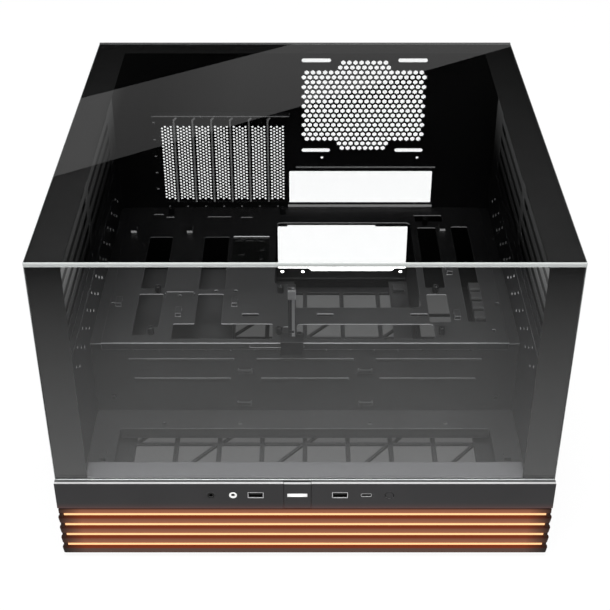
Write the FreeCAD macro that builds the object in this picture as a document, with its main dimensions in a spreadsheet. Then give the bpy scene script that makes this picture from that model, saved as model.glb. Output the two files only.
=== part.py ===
import FreeCAD, Part
import math
import os
import Sketcher
from FreeCAD import Placement, Rotation, Vector
from types import SimpleNamespace

# A glass-fronted ATX case lying flat: +Z up, front towards -Y, origin at the centre of the base.
# Lengths are millimetres. Tray features are placed from a reference line near the rear wall.

SIZES = {
    # outer shell
    "case_width": 432,
    "case_depth": 438,
    "foot_height": 6,
    "lower_height": 109,
    "upper_height": 195,
    "glass_width": 431,
    "glass_thickness": 3,
    "strip_proud": 4,
    "steel": 1,
    "skin": 0.8,
    "gap": 0.3,
    "chamber_width": 414,
    "rear_recess": 9.3,
    "rear_lip": 2,
    # studs that hold the glass
    "stud_radius": 1.5,
    "stud_length": 7,
    "stud_hole": 1.8,
    "socket_radius": 3,
    "socket_length": 6,
    "stud_inset": 4.3,
    "top_stud_reach": 180,
    "front_stud_low": 110,
    "front_stud_high": 290,
    # side ventilation and its small holes
    "side_slot_length": 150,
    "side_slot_spacing": 160,
    "side_slot_middle": 20,
    "side_slot_low": 60,
    "fan_spacing": 105,
    "side_slot_rows": 8,
    "side_vent_height": 9,
    "fan_slot_width": 4.5,
    "small_hole": 1.5,
    "small_hole_pitch": 30,
    "filter_frame": 3,
    "filter_border": 8,
    # rear wall
    "board_offset": 3.3,
    "vent_middle_x": 62.8,
    "vent_middle_rise": 124.35,
    "hex_pitch": 6.4,
    "hex_flats": 4.7,
    "rear_fan_slot_length": 31,
    "rear_fan_slot_spacing": 101.8,
    "card_pitch": 20.32,
    "first_card_x": -30.5,
    "card_opening_width": 16.8,
    "last_card_opening_cut": 3.5,
    "card_opening_low": 8,
    "card_opening_high": 106,
    "cover_width": 18.8,
    "cover_low": 3,
    "cover_high": 117,
    "cover_hex_pitch": 3.69,
    "cover_hex_flats": 2.3,
    "cover_hex_low": 10.8,
    "card_rod_width": 1.7,
    "card_rod_depth": 1.5,
    "card_screw_rise": 112,
    "card_screw_hole": 1.8,
    "card_screw_shank": 1.5,
    "card_screw_head": 3.2,
    "card_screw_head_height": 2.2,
    "io_left": -17.5,
    "io_width": 158.7,
    "io_low": 1.6,
    "io_height": 44.5,
    "supply_left": -32.5,
    "supply_width": 150,
    "supply_low": 19,
    "supply_height": 86,
    "supply_hole": 1.9,
    # motherboard tray and standoffs
    "tray_width": 392,
    "tray_front": 261,
    "tray_lip": 8,
    "tray_rear_lip": 7,
    "tray_lip_overlap": 1.5,
    "standoff_setback": 8,
    "standoff_height": 8,
    "standoff_radius": 3.2,
    "standoff_bore": 1.45,
    "standoff_bore_depth": 5,
    "loop_height": 4.2,
    # cooling bracket, front frame and floor
    "bracket_rise": 25,
    "bracket_rear_rail": 39,
    "bracket_side_rail": 26,
    "bracket_drop": 12,
    "ledge_rise": 82,
    "ledge_depth": 20,
    "ledge_half": 190,
    "ledge_lip": 8,
    "front_wall_back": 10,
    "filter_rise": 5,
    "filter_half_width": 190,
    "lattice_pitch": 42.2,
    "lattice_row": 45,
    "lattice_start": 16.5,
    "rib_width": 4.5,
    "brace_width": 2.5,
    "foot_radius": 14,
    "foot_reach_x": 175,
    "foot_reach_y": 180,
    # control strip
    "strip_height": 28.2,
    "strip_wall": 2.5,
    "strip_depth": 7,
    "control_drop": 13,
    "button_left": -18.5,
    "button_width": 24,
    "button_clearance": 0.3,
    "button_depth": 3.6,
    "button_travel": 1,
    "bar_left": -15.3,
    "bar_width": 17.3,
    "bar_height": 3.8,
    "round_button_x": 73.1,
    "round_button_radius": 3.6,
    "mic_x": -81.4,
    "headset_x": -62.3,
    "jack_bore": 1.8,
    "jack_radius": 3.4,
    "ring_depth": 1.5,
    "usb_left_x": -42.7,
    "usb_right_x": 30.3,
    "usb_width": 13.7,
    "usb_height": 6.7,
    "usbc_x": 53.1,
    "usbc_width": 9.6,
    "usbc_height": 3.6,
    "board_thickness": 1.2,
    # louvre and its lights
    "slat_pitch": 12.05,
    "slat_count": 4,
    "slat_height": 5.9,
    "slat_draft": 0.6,
    "slat_first_drop": 12.25,
    "rail_drop": 1.3,
    "louvre_overhang": 0.8,
    "groove_depth": 3.8,
    "rail_height": 4.4,
    "light_half": 212,
    "light_height": 2.6,
    "light_rise": 0.5,
    "light_depth": 1.6,
    # graphics card support
    "support_x": -12.4,
    "support_width": 22,
    "post_width": 7.5,
    "post_depth": 6,
    "post_height": 60,
    "post_wall": 1.6,
    "support_track_left": 53,
    "support_track_right": 1,
}

doc = FreeCAD.newDocument("atx_case")
sheet_cells = doc.addObject("Spreadsheet::Sheet", "Sizes")


class Size:
    """A length together with the sheet formula that it comes from."""

    def __init__(self, value, formula):
        self.value = float(value)
        self.formula = formula

    def __float__(self):
        return self.value

    def combined(self, other, sign, value):
        return Size(value, "(%s %s %s)" % (self.formula, sign, other.formula))

    def __add__(self, other):
        other = as_size(other)
        return self.combined(other, "+", self.value + other.value)

    def __sub__(self, other):
        other = as_size(other)
        return self.combined(other, "-", self.value - other.value)

    def __mul__(self, other):
        other = as_size(other)
        return self.combined(other, "*", self.value * other.value)

    def __truediv__(self, other):
        other = as_size(other)
        return self.combined(other, "/", self.value / other.value)

    def __neg__(self):
        return Size(-self.value, "(0 - %s)" % self.formula)

    def __radd__(self, other):
        return as_size(other) + self

    def __rsub__(self, other):
        return as_size(other) - self

    def __rmul__(self, other):
        return as_size(other) * self


def as_size(number):
    """The number as a Size, so that plain numbers and sheet values mix."""
    if isinstance(number, Size):
        return number
    return Size(number, "(%s)" % float(number))


def fill_sheet():
    """Write every driving dimension to the sheet and return them by name."""
    values = {}
    for row, (alias, number) in enumerate(SIZES.items(), start=1):
        cell = "B%d" % row
        sheet_cells.set("A%d" % row, alias.replace("_", " "))
        sheet_cells.set(cell, str(number))
        sheet_cells.setAlias(cell, alias)
        values[alias] = Size(number, "Sizes." + alias)
    doc.recompute()
    return SimpleNamespace(**values)


s = fill_sheet()
pieces = []

# Levels and planes shared by the pieces.
front = -s.case_depth / 2
rear = s.case_depth / 2
floor_top = s.foot_height + s.steel
frame_base = floor_top + s.gap
tray_top = s.foot_height + s.lower_height
tray_under = tray_top - s.steel
body_top = tray_top + s.upper_height
glass_under = body_top - s.glass_thickness
frame_top = glass_under - s.gap
chamber = s.chamber_width / 2
skin_out = s.glass_width / 2
skin_in = skin_out - s.skin
rim = skin_in - s.gap
stud_x = skin_out - s.stud_inset
glass_face = front + s.strip_proud
glass_back = glass_face + s.glass_thickness
frame_front = glass_back + s.gap
wall_in = rear - s.rear_recess
wall_out = wall_in + s.steel
frame_rear = wall_in - s.gap
board = wall_in + s.board_offset
strip_top = s.foot_height + s.ledge_rise
strip_low = strip_top - s.strip_height
strip_back = front + s.strip_depth
control_z = strip_top - s.control_drop
tray_edge = board - s.tray_front
bracket_top = s.foot_height + s.bracket_rise
front_wall = front + s.front_wall_back

ALONG = {
    "x": Rotation(Vector(0, 1, 0), 90),
    "y": Rotation(Vector(1, 0, 0), -90),
    "z": Rotation(),
}
# A sheet drawn in (u, v) stands in this plane; its thickness grows towards the third direction.
LYING = Rotation()
FACING_FRONT = Rotation(Vector(1, 0, 0), 90)
FACING_RIGHT = Rotation(Vector(1, 1, 1), 120)


def box(name, x, y, z):
    """A box between a lower and an upper bound on each axis."""
    item = doc.addObject("Part::Box", name)
    for side, corner, (low, high) in (("Length", "x", x), ("Width", "y", y), ("Height", "z", z)):
        low = as_size(low)
        item.setExpression(side, (high - low).formula)
        item.setExpression(".Placement.Base." + corner, low.formula)
    return item


def rod(name, radius, start, length, along="z"):
    """A cylinder from the point start, with its axis along x, y or z."""
    item = doc.addObject("Part::Cylinder", name)
    item.Placement = Placement(Vector(), ALONG[along])
    item.setExpression("Radius", as_size(radius).formula)
    item.setExpression("Height", as_size(length).formula)
    for corner, place in zip("xyz", start):
        item.setExpression(".Placement.Base." + corner, as_size(place).formula)
    return item


def fuse(name, items):
    """The items joined into one solid."""
    item = doc.addObject("Part::MultiFuse", name)
    item.Shapes = items
    item.Refine = True
    return item


def group(name, items):
    """Separate solids kept side by side."""
    item = doc.addObject("Part::Compound", name)
    item.Links = items
    return item


def cut(name, base, tools):
    """The base with every tool taken away; the tools don't meet each other."""
    item = doc.addObject("Part::Cut", name)
    item.Base = base
    item.Tool = group(name + "_tools", tools)
    return item


def tube(name, outer, inner, start, length, along="z"):
    """A round sleeve."""
    bore = rod(name + "_bore", inner, start, length, along)
    return cut(name, rod(name + "_outside", outer, start, length, along), [bore])


def mirrored(side, near, far):
    """Bounds from near to far of the middle, on the side -1 or +1."""
    if side > 0:
        return near, far
    return -far, -near


def piece(node, item):
    """Name a finished sub-part after its node."""
    item.Label = node
    pieces.append(item)
    return item


# Outlines drawn flat, for sheets with many openings.

def rounded(points, radius):
    """A closed outline through the points with every corner rounded to the radius."""
    edges = []
    ends = []
    count = len(points)
    for i in range(count):
        here = Vector(*points[i], 0)
        back = (Vector(*points[i - 1], 0) - here).normalize()
        ahead = (Vector(*points[(i + 1) % count], 0) - here).normalize()
        half = back.getAngle(ahead) / 2
        reach = radius / math.tan(half)
        middle = (back + ahead).normalize()
        crown = here + middle * (radius / math.sin(half) - radius)
        ends.append((here + back * reach, crown, here + ahead * reach))
    for i in range(count):
        edges.append(Part.LineSegment(ends[i - 1][2], ends[i][0]).toShape())
        edges.append(Part.Arc(*ends[i]).toShape())
    return Part.Wire(edges)


def corners(left, right, low, high):
    left, right, low, high = (float(v) for v in (left, right, low, high))
    return [(left, low), (right, low), (right, high), (left, high)]


def oblong(left, right, low, high, radius=1.0):
    return rounded(corners(left, right, low, high), radius)


def plain(points):
    """A closed outline with sharp corners."""
    closed = [Vector(*p, 0) for p in points]
    return Part.makePolygon(closed + closed[:1])


def slot(u, v, length, width):
    """A round-ended slot along u, centred on (u, v)."""
    u, v, radius = float(u), float(v), float(width) / 2
    half = float(length) / 2 - radius
    left, right = u - half, u + half
    return Part.Wire([
        Part.LineSegment(Vector(left, v - radius, 0), Vector(right, v - radius, 0)).toShape(),
        Part.Arc(Vector(right, v - radius, 0), Vector(right + radius, v, 0), Vector(right, v + radius, 0)).toShape(),
        Part.LineSegment(Vector(right, v + radius, 0), Vector(left, v + radius, 0)).toShape(),
        Part.Arc(Vector(left, v + radius, 0), Vector(left - radius, v, 0), Vector(left, v - radius, 0)).toShape(),
    ])


def hole(u, v, radius):
    return Part.Wire([Part.makeCircle(float(radius), Vector(float(u), float(v), 0))])


def hexagon(u, v, flats, turn=0.0):
    """A hexagon across its flats, with a corner upwards unless it is turned."""
    reach = float(flats) / math.sqrt(3)
    angles = [turn + k * math.pi / 3 for k in range(6)]
    return plain([(u + reach * math.sin(a), v + reach * math.cos(a)) for a in angles])


def sheet(name, outline, openings, thickness, rotation, place):
    """A flat sheet with openings, put into one of the three directions."""
    item = doc.addObject("Part::Feature", name)
    flat = Part.makeFace([outline] + openings, "Part::FaceMakerCheese")
    item.Shape = flat.extrude(Vector(0, 0, float(thickness)))
    item.Placement = Placement(Vector(*(float(c) for c in place)), rotation)
    return item


# Bodies with sketches.

def sketch_on(body, role):
    """A new sketch on one of the body's own origin planes."""
    drawing = body.newObject("Sketcher::SketchObject", body.Name + "_sketch")
    plane = [o for o in body.Origin.OriginFeatures if o.Role == role][0]
    drawing.AttachmentSupport = [(plane, "")]
    drawing.MapMode = "FlatFace"
    return drawing


def draw_rectangle(drawing, left, right, low, high):
    """Four lines whose corners are dimensioned from the origin."""
    c = [Vector(float(a), float(b), 0) for a, b in ((left, low), (right, low), (right, high), (left, high))]
    for i in range(4):
        drawing.addGeometry(Part.LineSegment(c[i], c[(i + 1) % 4]))
    for i in range(4):
        drawing.addConstraint(Sketcher.Constraint("Coincident", i, 2, (i + 1) % 4, 1))
    for i in (0, 2):
        drawing.addConstraint(Sketcher.Constraint("Horizontal", i))
        drawing.addConstraint(Sketcher.Constraint("Vertical", i + 1))
    for label, kind, line, bound in (
        ("left", "DistanceX", 0, left), ("right", "DistanceX", 2, right),
        ("low", "DistanceY", 0, low), ("high", "DistanceY", 2, high),
    ):
        index = drawing.addConstraint(Sketcher.Constraint(kind, -1, 1, line, 1, float(bound)))
        drawing.renameConstraint(index, label)
        drawing.setExpression("Constraints." + label, as_size(bound).formula)


def draw_circle(drawing, radius):
    """A circle about the origin with its radius dimensioned."""
    drawing.addGeometry(Part.Circle(Vector(), Vector(0, 0, 1), float(radius)))
    drawing.addConstraint(Sketcher.Constraint("Coincident", 0, 3, -1, 1))
    index = drawing.addConstraint(Sketcher.Constraint("Radius", 0, float(radius)))
    drawing.renameConstraint(index, "radius")
    drawing.setExpression("Constraints.radius", as_size(radius).formula)


def pad(body, drawing, length):
    """Raise the sketch by the length."""
    raised = body.newObject("PartDesign::Pad", body.Name + "_pad")
    raised.Profile = drawing
    raised.setExpression("Length", as_size(length).formula)
    return raised


def lift(body, x, y, z):
    for corner, place in zip("xyz", (x, y, z)):
        body.setExpression(".Placement.Base." + corner, as_size(place).formula)


def pane(node, x, along, thickness, lying):
    """A toughened glass pane with ground edges, lying flat or facing the front."""
    body = doc.addObject("PartDesign::Body", node)
    drawing = sketch_on(body, "XY_Plane" if lying else "XZ_Plane")
    draw_rectangle(drawing, x[0], x[1], along[0], along[1])
    raised = pad(body, drawing, thickness)
    doc.recompute()
    ground = body.newObject("PartDesign::Chamfer", node + "_ground_edge")
    ground.Base = (raised, ["Face%d" % (i + 1) for i, f in enumerate(raised.Shape.Faces)
                            if f.Area > raised.Shape.Area / 3])
    ground.Size = 0.5
    return body


# Glass.

def make_glass():
    top = pane("top_glass", (-skin_out, skin_out), (glass_face, rear - s.rear_lip), s.glass_thickness, True)
    lift(top, 0, 0, glass_under)
    piece("top_glass", top)
    low = strip_top + s.gap
    face = pane("front_glass", (-skin_out, skin_out), (low, glass_under - s.gap), s.glass_thickness, False)
    lift(face, 0, glass_back, 0)
    piece("front_glass", face)
    studs, sockets, tops, cups = [], [], [], []
    for side in (-1, 1):
        x = side * stud_x
        for k, y in enumerate((-s.top_stud_reach, s.top_stud_reach)):
            name = "%s_%d" % ("left" if side < 0 else "right", k)
            tops.append(rod("top_stud_" + name, s.stud_radius, (x, y, glass_under - s.stud_length), s.stud_length))
            start = (x, y, frame_top - s.steel - s.gap - s.socket_length)
            cups.append(tube("top_socket_" + name, s.socket_radius, s.stud_hole, start, s.socket_length))
        for k, z in enumerate((s.front_stud_low, s.front_stud_high)):
            name = "%s_%d" % ("left" if side < 0 else "right", k)
            studs.append(rod("front_stud_" + name, s.stud_radius, (x, glass_back, z), s.stud_length, "y"))
            start = (x, frame_front + s.steel + s.gap, z)
            sockets.append(tube("front_socket_" + name, s.socket_radius, s.stud_hole, start, s.socket_length, "y"))
    piece("top_glass_studs", group("top_glass_studs", tops))
    piece("top_glass_sockets", group("top_glass_sockets", cups))
    piece("front_glass_studs", group("front_glass_studs", studs))
    piece("front_glass_sockets", group("front_glass_sockets", sockets))


# Side frames, panels and filters.

def side_rows():
    """Each row of side slots: its height above the tray and its width."""
    count = int(float(s.side_slot_rows))
    for k in range(count):
        rise = s.side_slot_low + s.fan_spacing * k / (count - 1)
        width = s.fan_slot_width if k in (0, count - 1) else s.side_vent_height
        yield tray_top + rise, width


def side_slots():
    """The long ventilation slots that the frames and the outer panels share."""
    openings = []
    for z, width in side_rows():
        for k in (-0.5, 0.5):
            openings.append(slot(s.side_slot_middle + s.side_slot_spacing * k, z, s.side_slot_length, width))
    return openings


def small_holes():
    """Three staggered rows of tie-down holes low on the side frame."""
    openings = []
    for rise, shift in ((11.5, 0.0), (21.5, 0.5), (32.5, 0.0)):
        for k in range(-5, 6):
            y = s.side_slot_middle + s.small_hole_pitch * (k + shift)
            openings.append(hole(y, tray_top + rise, s.small_hole))
    return openings


def make_side(side, name):
    x_wall = chamber if side > 0 else -(chamber + s.steel)
    outline = plain(corners(frame_front, frame_rear, frame_base, frame_top))
    wall = sheet(name + "_frame_wall", outline, side_slots() + small_holes(), s.steel, FACING_RIGHT, (x_wall, 0, 0))
    across = mirrored(side, chamber + s.steel, rim)
    depth = (frame_front, frame_rear)
    flanges = [
        box(name + "_top_flange", across, depth, (frame_top - s.steel, frame_top)),
        box(name + "_low_flange", across, depth, (frame_base, frame_base + s.steel)),
        box(name + "_front_flange", across, (frame_front, frame_front + s.steel), (frame_base, frame_top)),
        box(name + "_rear_flange", across, (frame_rear - s.steel, frame_rear), (frame_base, frame_top)),
    ]
    rib_z = tray_top + 41
    rib = box(name + "_rib", mirrored(side, chamber - 0.8, chamber),
              (s.side_slot_middle - s.side_slot_spacing, wall_in - 60), (rib_z, rib_z + 2.4))
    holes = []
    x = side * stud_x
    for k, y in enumerate((-s.top_stud_reach, s.top_stud_reach)):
        holes.append(rod("%s_top_hole_%d" % (name, k), s.stud_hole, (x, y, frame_top - s.steel), s.steel))
    for k, z in enumerate((s.front_stud_low, s.front_stud_high)):
        holes.append(rod("%s_front_hole_%d" % (name, k), s.stud_hole, (x, frame_front, z), s.steel, "y"))
    for k, z in enumerate(thumb_heights()):
        holes.append(rod("%s_rear_hole_%d" % (name, k), s.stud_hole, (x, frame_rear - s.steel, z), s.steel, "y"))
    pan = fuse(name + "_frame_pan", [wall] + flanges + [rib])
    piece(name + "_side_frame", cut(name + "_side_frame", pan, holes))

    x_skin = skin_in if side > 0 else -skin_out
    outline = plain(corners(frame_front, frame_rear, frame_base, frame_top))
    skin = sheet(name + "_side_panel", outline, side_slots(), s.skin, FACING_RIGHT, (x_skin, 0, 0))
    piece(name + "_side_panel", skin)

    low = tray_top + s.side_slot_low - s.filter_border * 1.5
    high = low + s.fan_spacing + s.filter_border * 3
    half = s.side_slot_spacing / 2 + s.side_slot_length / 2 + s.filter_border
    mid = s.side_slot_middle
    border = s.filter_border
    windows = [oblong(mid - half + border, mid - 4, low + border, high - border, 2),
               oblong(mid + 4, mid + half - border, low + border, high - border, 2)]
    x_filter = rim - s.gap - s.filter_frame
    x_filter = x_filter if side > 0 else -(x_filter + s.filter_frame)
    outline = oblong(mid - half, mid + half, low, high, 3)
    frame = sheet(name + "_filter_frame", outline, windows, s.filter_frame, FACING_RIGHT, (x_filter, 0, 0))
    piece(name + "_filter_frame", frame)


def thumb_heights():
    return tray_top - 55, tray_top + 135


# Rear panel, slot covers and what fastens them.

def vent_rows():
    """The honeycomb: fifteen full rows and two short rows above and below them."""
    step = float(s.hex_pitch) * math.sqrt(3) / 2
    for row in range(-9, 10):
        if abs(row) <= 7:
            count = 21 - abs(row) % 2
        else:
            count = 17 - abs(row)
        for k in range(count):
            yield float(s.hex_pitch) * (k - (count - 1) / 2), step * row


def supply_opening():
    """The power supply opening, with metal left at the corners for its screws."""
    left = s.supply_left + 1.2
    right = s.supply_left + s.supply_width - 0.2
    low = s.foot_height + s.supply_low + 7
    high = low + s.supply_height - 9
    sill = low + 3.7
    shoulder = high - 19
    points = [
        (left + 35.3, sill), (left + 39.3, low), (right - 16.3, low), (right - 12.3, sill), (right, sill),
        (right, shoulder), (right - 37.3, shoulder), (right - 37.3, high), (left + 11.3, high),
        (left + 11.3, shoulder), (left, shoulder), (left, sill),
    ]
    return rounded([(float(a), float(b)) for a, b in points], 1.0)


def supply_holes():
    """Four screw holes of the power supply and the two that let it be turned over."""
    left = s.supply_left + 6
    low = s.foot_height + s.supply_low + 6
    spots = ((0, 0), (138, 0), (0, 64), (138, 64), (24, 0), (114, 64))
    return [hole(left + a, low + b, s.supply_hole) for a, b in spots]


CARD_COUNT = 7
COVER_ROWS = 25
ROD_HOOK = [(0.85, 108), (3.4, 110.6), (2.2, 111.8)]
DIMPLE_X = -164.2
DIMPLE_RISES = (105.7, 85, 64.8, 44.6, 24.1)


def card_middles():
    return [s.first_card_x - s.card_pitch * k for k in range(CARD_COUNT)]


def card_rods():
    """The rods between the card openings: each stands on the wall's inside and hooks over at its top."""
    half = float(s.card_rod_width) / 2
    rods = []
    for k in range(CARD_COUNT - 1):
        x = float(s.first_card_x - s.card_pitch * (k + 0.5))
        foot = float(tray_top + s.card_opening_low)
        hook = [(x + a, float(tray_top) + b) for a, b in ROD_HOOK]
        outline = plain([(x - half, foot), (x + half, foot)] + hook + [(x - half, hook[0][1] + 1)])
        rods.append(sheet("card_rod_%d" % k, outline, [], s.card_rod_depth, FACING_FRONT, (0, wall_in, 0)))
    return rods


def rear_openings():
    middle_z = tray_top + s.vent_middle_rise
    openings = [hexagon(float(s.vent_middle_x) + a, float(middle_z) + b, s.hex_flats) for a, b in vent_rows()]
    for across in (-0.5, 0.5):
        for up in (-0.5, 0.5):
            openings.append(slot(s.vent_middle_x + s.rear_fan_slot_spacing * across, middle_z + s.fan_spacing * up,
                                 s.rear_fan_slot_length, s.fan_slot_width))
        openings.append(hole(s.vent_middle_x + 8.3 + 104.8 * across, middle_z - 61.6, s.small_hole))
    half = s.card_opening_width / 2
    for k, x in enumerate(card_middles(), start=1):
        left = x - half + (s.last_card_opening_cut if k == CARD_COUNT else 0)
        openings.append(oblong(left, x + half, tray_top + s.card_opening_low, tray_top + s.card_opening_high))
        openings.append(hole(x, tray_top + s.card_screw_rise, s.card_screw_hole))
    io_low = tray_top + s.io_low
    openings.append(oblong(s.io_left, s.io_left + s.io_width, io_low, io_low + s.io_height, 1.5))
    openings.append(supply_opening())
    openings.extend(supply_holes())
    for side in (-1, 1):
        for z in thumb_heights():
            openings.append(hole(side * stud_x, z, s.stud_hole))
    return openings


def cover_holes(x):
    """Five columns of hexagons down the middle of a slot cover; every second column is one hole shorter."""
    pitch = float(s.cover_hex_pitch)
    foot = float(tray_top + s.cover_hex_low)
    holes = []
    for column in range(-2, 3):
        short = column % 2
        u = x + column * pitch * math.sqrt(3) / 2
        for row in range(COVER_ROWS - short):
            holes.append(hexagon(u, foot + pitch * (row + short / 2), s.cover_hex_flats, math.pi / 6))
    return holes


def make_rear():
    outline = plain(corners(-skin_out, skin_out, frame_base, frame_top))
    wall = sheet("rear_wall", outline, rear_openings(), s.steel, FACING_FRONT, (0, wall_out, 0))
    full = (-skin_out, skin_out)
    back = (wall_out, rear)
    lip_y = (rear - s.rear_lip + s.gap, rear)
    parts = [
        wall,
        box("rear_low_flange", full, back, (frame_base, frame_base + s.steel)),
        box("rear_top_flange", full, back, (frame_top - s.steel, frame_top)),
        box("rear_left_flange", (-skin_out, -skin_out + s.steel), back, (frame_base, frame_top)),
        box("rear_right_flange", (skin_out - s.steel, skin_out), back, (frame_base, frame_top)),
        box("rear_glass_lip", full, lip_y, (frame_top, body_top)),
    ]
    bead = 0.8
    outside = (wall_out, wall_out + bead)
    inside = (wall_in - bead, wall_in)
    low_bead = floor_top + 20
    high_bead = tray_top - 22
    io_bead = tray_top + s.io_low + s.io_height + 4.4
    sill = s.foot_height + 12
    supply_right = s.supply_left + s.supply_width
    for name, x, y, z in (
        ("rear_io_bead", (s.io_left + 7.3, s.io_left + s.io_width + 3), inside, (io_bead, io_bead + 1.6)),
        ("rear_lower_bead_low", (-190, s.supply_left - 20), outside, (low_bead, low_bead + 2)),
        ("rear_lower_bead_high", (-190, s.supply_left - 20), outside, (high_bead, high_bead + 2)),
        ("rear_sill", (s.supply_left, supply_right), inside, (sill, sill + 4.5)),
    ):
        parts.append(box(name, x, y, z))
    for k, rise in enumerate(DIMPLE_RISES):
        z = tray_top + rise
        parts.append(box("rear_dimple_%d" % k, (as_size(DIMPLE_X - 1.3), as_size(DIMPLE_X + 1.3)), inside,
                         (z - 0.6, z + 0.6)))
    for k, x in enumerate(card_middles()):
        parts.append(box("cover_tab_seat_%d" % k, (x - 0.9, x + 0.9), inside, (tray_top + 1.2, tray_top + 2.4)))
    piece("rear_panel", fuse("rear_panel", parts + card_rods()))

    cover_y = wall_out + s.gap
    screws = []
    for k, x in enumerate(card_middles(), start=1):
        low = tray_top + s.cover_low
        high = tray_top + s.cover_high
        half = s.cover_width / 2
        openings = [hole(x, tray_top + s.card_screw_rise, s.card_screw_hole)]
        openings.extend(cover_holes(float(x)))
        outline = oblong(x - half, x + half, low, high, 1)
        cover = sheet("slot_cover_%d" % k, outline, openings, s.skin, FACING_FRONT, (0, cover_y + s.skin, 0))
        piece("slot_cover_%d" % k, cover)
        face = cover_y + s.skin
        rise = tray_top + s.card_screw_rise
        shank_start = wall_in - 2
        head = rod("card_screw_head_%d" % k, s.card_screw_head, (x, face, rise), s.card_screw_head_height, "y")
        shank = rod("card_screw_shank_%d" % k, s.card_screw_shank, (x, shank_start, rise), face - shank_start, "y")
        screws.append(fuse("card_screw_%d" % k, [head, shank]))
    piece("slot_screws", group("slot_screws", screws))

    guard_x = (s.first_card_x - s.card_pitch * (CARD_COUNT - 0.5) - 2.4, s.first_card_x + s.card_pitch / 2 + 3.4)
    shelf_z = tray_top + s.cover_high - 0.4
    guard_back = wall_in - s.gap
    strip = fuse("slot_guard_strip", [
        box("guard_shelf", guard_x, (guard_back - 9.7, guard_back), (shelf_z, shelf_z + s.steel)),
        box("guard_back", guard_x, (guard_back - s.steel, guard_back), (shelf_z - 2, shelf_z)),
    ])
    piece("slot_guard_strip", strip)

    knobs = []
    for side in (-1, 1):
        for k, z in enumerate(thumb_heights()):
            name = "%d_%d" % (side + 1, k)
            start = frame_rear - s.steel - 4
            x = side * stud_x
            shank = rod("thumb_shank_" + name, s.stud_radius, (x, start, z), wall_out - start, "y")
            head = rod("thumb_head_" + name, s.socket_radius, (x, wall_out, z), 6, "y")
            knobs.append(fuse("thumbscrew_" + name, [shank, head]))
    piece("rear_thumbscrews", group("rear_thumbscrews", knobs))


# Motherboard tray.

PLAIN_OPENINGS = {
    # name: left, right, front and rear bounds, measured from the reference line, and corner radius
    "left_rear": (-168, -143.5, -166.3, -68, 2),
    "second_rear": (-108.5, -81.7, -167, -68, 2),
    "front_slot": (-8, 126, -254.3, -229.6, 4),
    "post_slot": (-21.2, -16, -249, -233.8, 1),
    "right_rear": (123.3, 143.5, -165.4, -48, 2),
    "right_front": (123, 143.7, -226, -177, 2),
    "grip_slot": (160.5, 178.5, -225.5, -46, 2),
    "board_window": (-77.7, -38.5, -122, -66.4, 1.5),
    "rear_right_window": (121.5, 152.3, -35, -21, 1.5),
    "rear_slot_1": (-169, -158, -21.6, -18.6, 1),
    "rear_slot_2": (-154.6, -145.6, -27.9, -24.9, 1),
    "rear_slot_3": (-108.5, -82.7, -27.8, -23.8, 1),
    "rear_slot_4": (-71.7, -58.3, -27.9, -24.9, 1),
    "tie_slot_left": (-62.6, -45.9, -216, -211.5, 1),
    "tie_slot_middle": (11.8, 28.4, -216, -211.5, 1),
    "tie_slot_right": (104.6, 121.6, -216, -211.5, 1),
    "tab_slot_top": (-141, -113.5, -173.6, -172, 0.5),
    "tab_slot_left": (-142.4, -141.4, -183, -174.6, 0.4),
    "tab_slot_right": (-113.1, -112.1, -183, -174.6, 0.4),
}
BENT_OPENINGS = {
    "left_front": [(-168, -248), (-154.5, -248), (-154.5, -235), (-143.5, -235), (-143.5, -176.4), (-168, -176.4)],
    "second_front": [(-129.3, -254.3), (-31.7, -254.3), (-31.7, -229), (-82.5, -229), (-82.5, -176.4),
                     (-108.5, -176.4), (-108.5, -229), (-129.3, -229)],
}
PROCESSOR_OPENING = [(-31.5, -37), (116.2, -37), (116.2, -201), (-12, -201), (-12, -159), (-31.5, -159)]
RIM_WIDTH = 1
TRAY_HOLES = [(-126.8, -179.4), (-90.5, -170.5), (-70.4, -170.5), (193, -193), (-193, -193), (184, -240)]
LOOP_SPOTS = [(-186.7, -192.7), (-125.6, -210.8), (-70.6, -192.7), (-186.7, -56), (-125.8, -56),
              (150.4, -51.9), (150.4, -134), (150.4, -216)]
STANDOFF_COLUMNS = (-149.35, -24.89, 132.59)
STANDOFF_ROWS = (-10.16, -165.1, -237.49)
CORNER_STANDOFF_ROW = -33.02


def on_board(x, y):
    """A place measured from the reference line, in the case's own frame."""
    return float(x), float(board) + float(y)


def standoff_spots():
    spots = []
    for x in STANDOFF_COLUMNS:
        for y in STANDOFF_ROWS:
            if x == STANDOFF_COLUMNS[2] and y == STANDOFF_ROWS[0]:
                y = CORNER_STANDOFF_ROW
            spots.append((x, y))
    return spots


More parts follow.
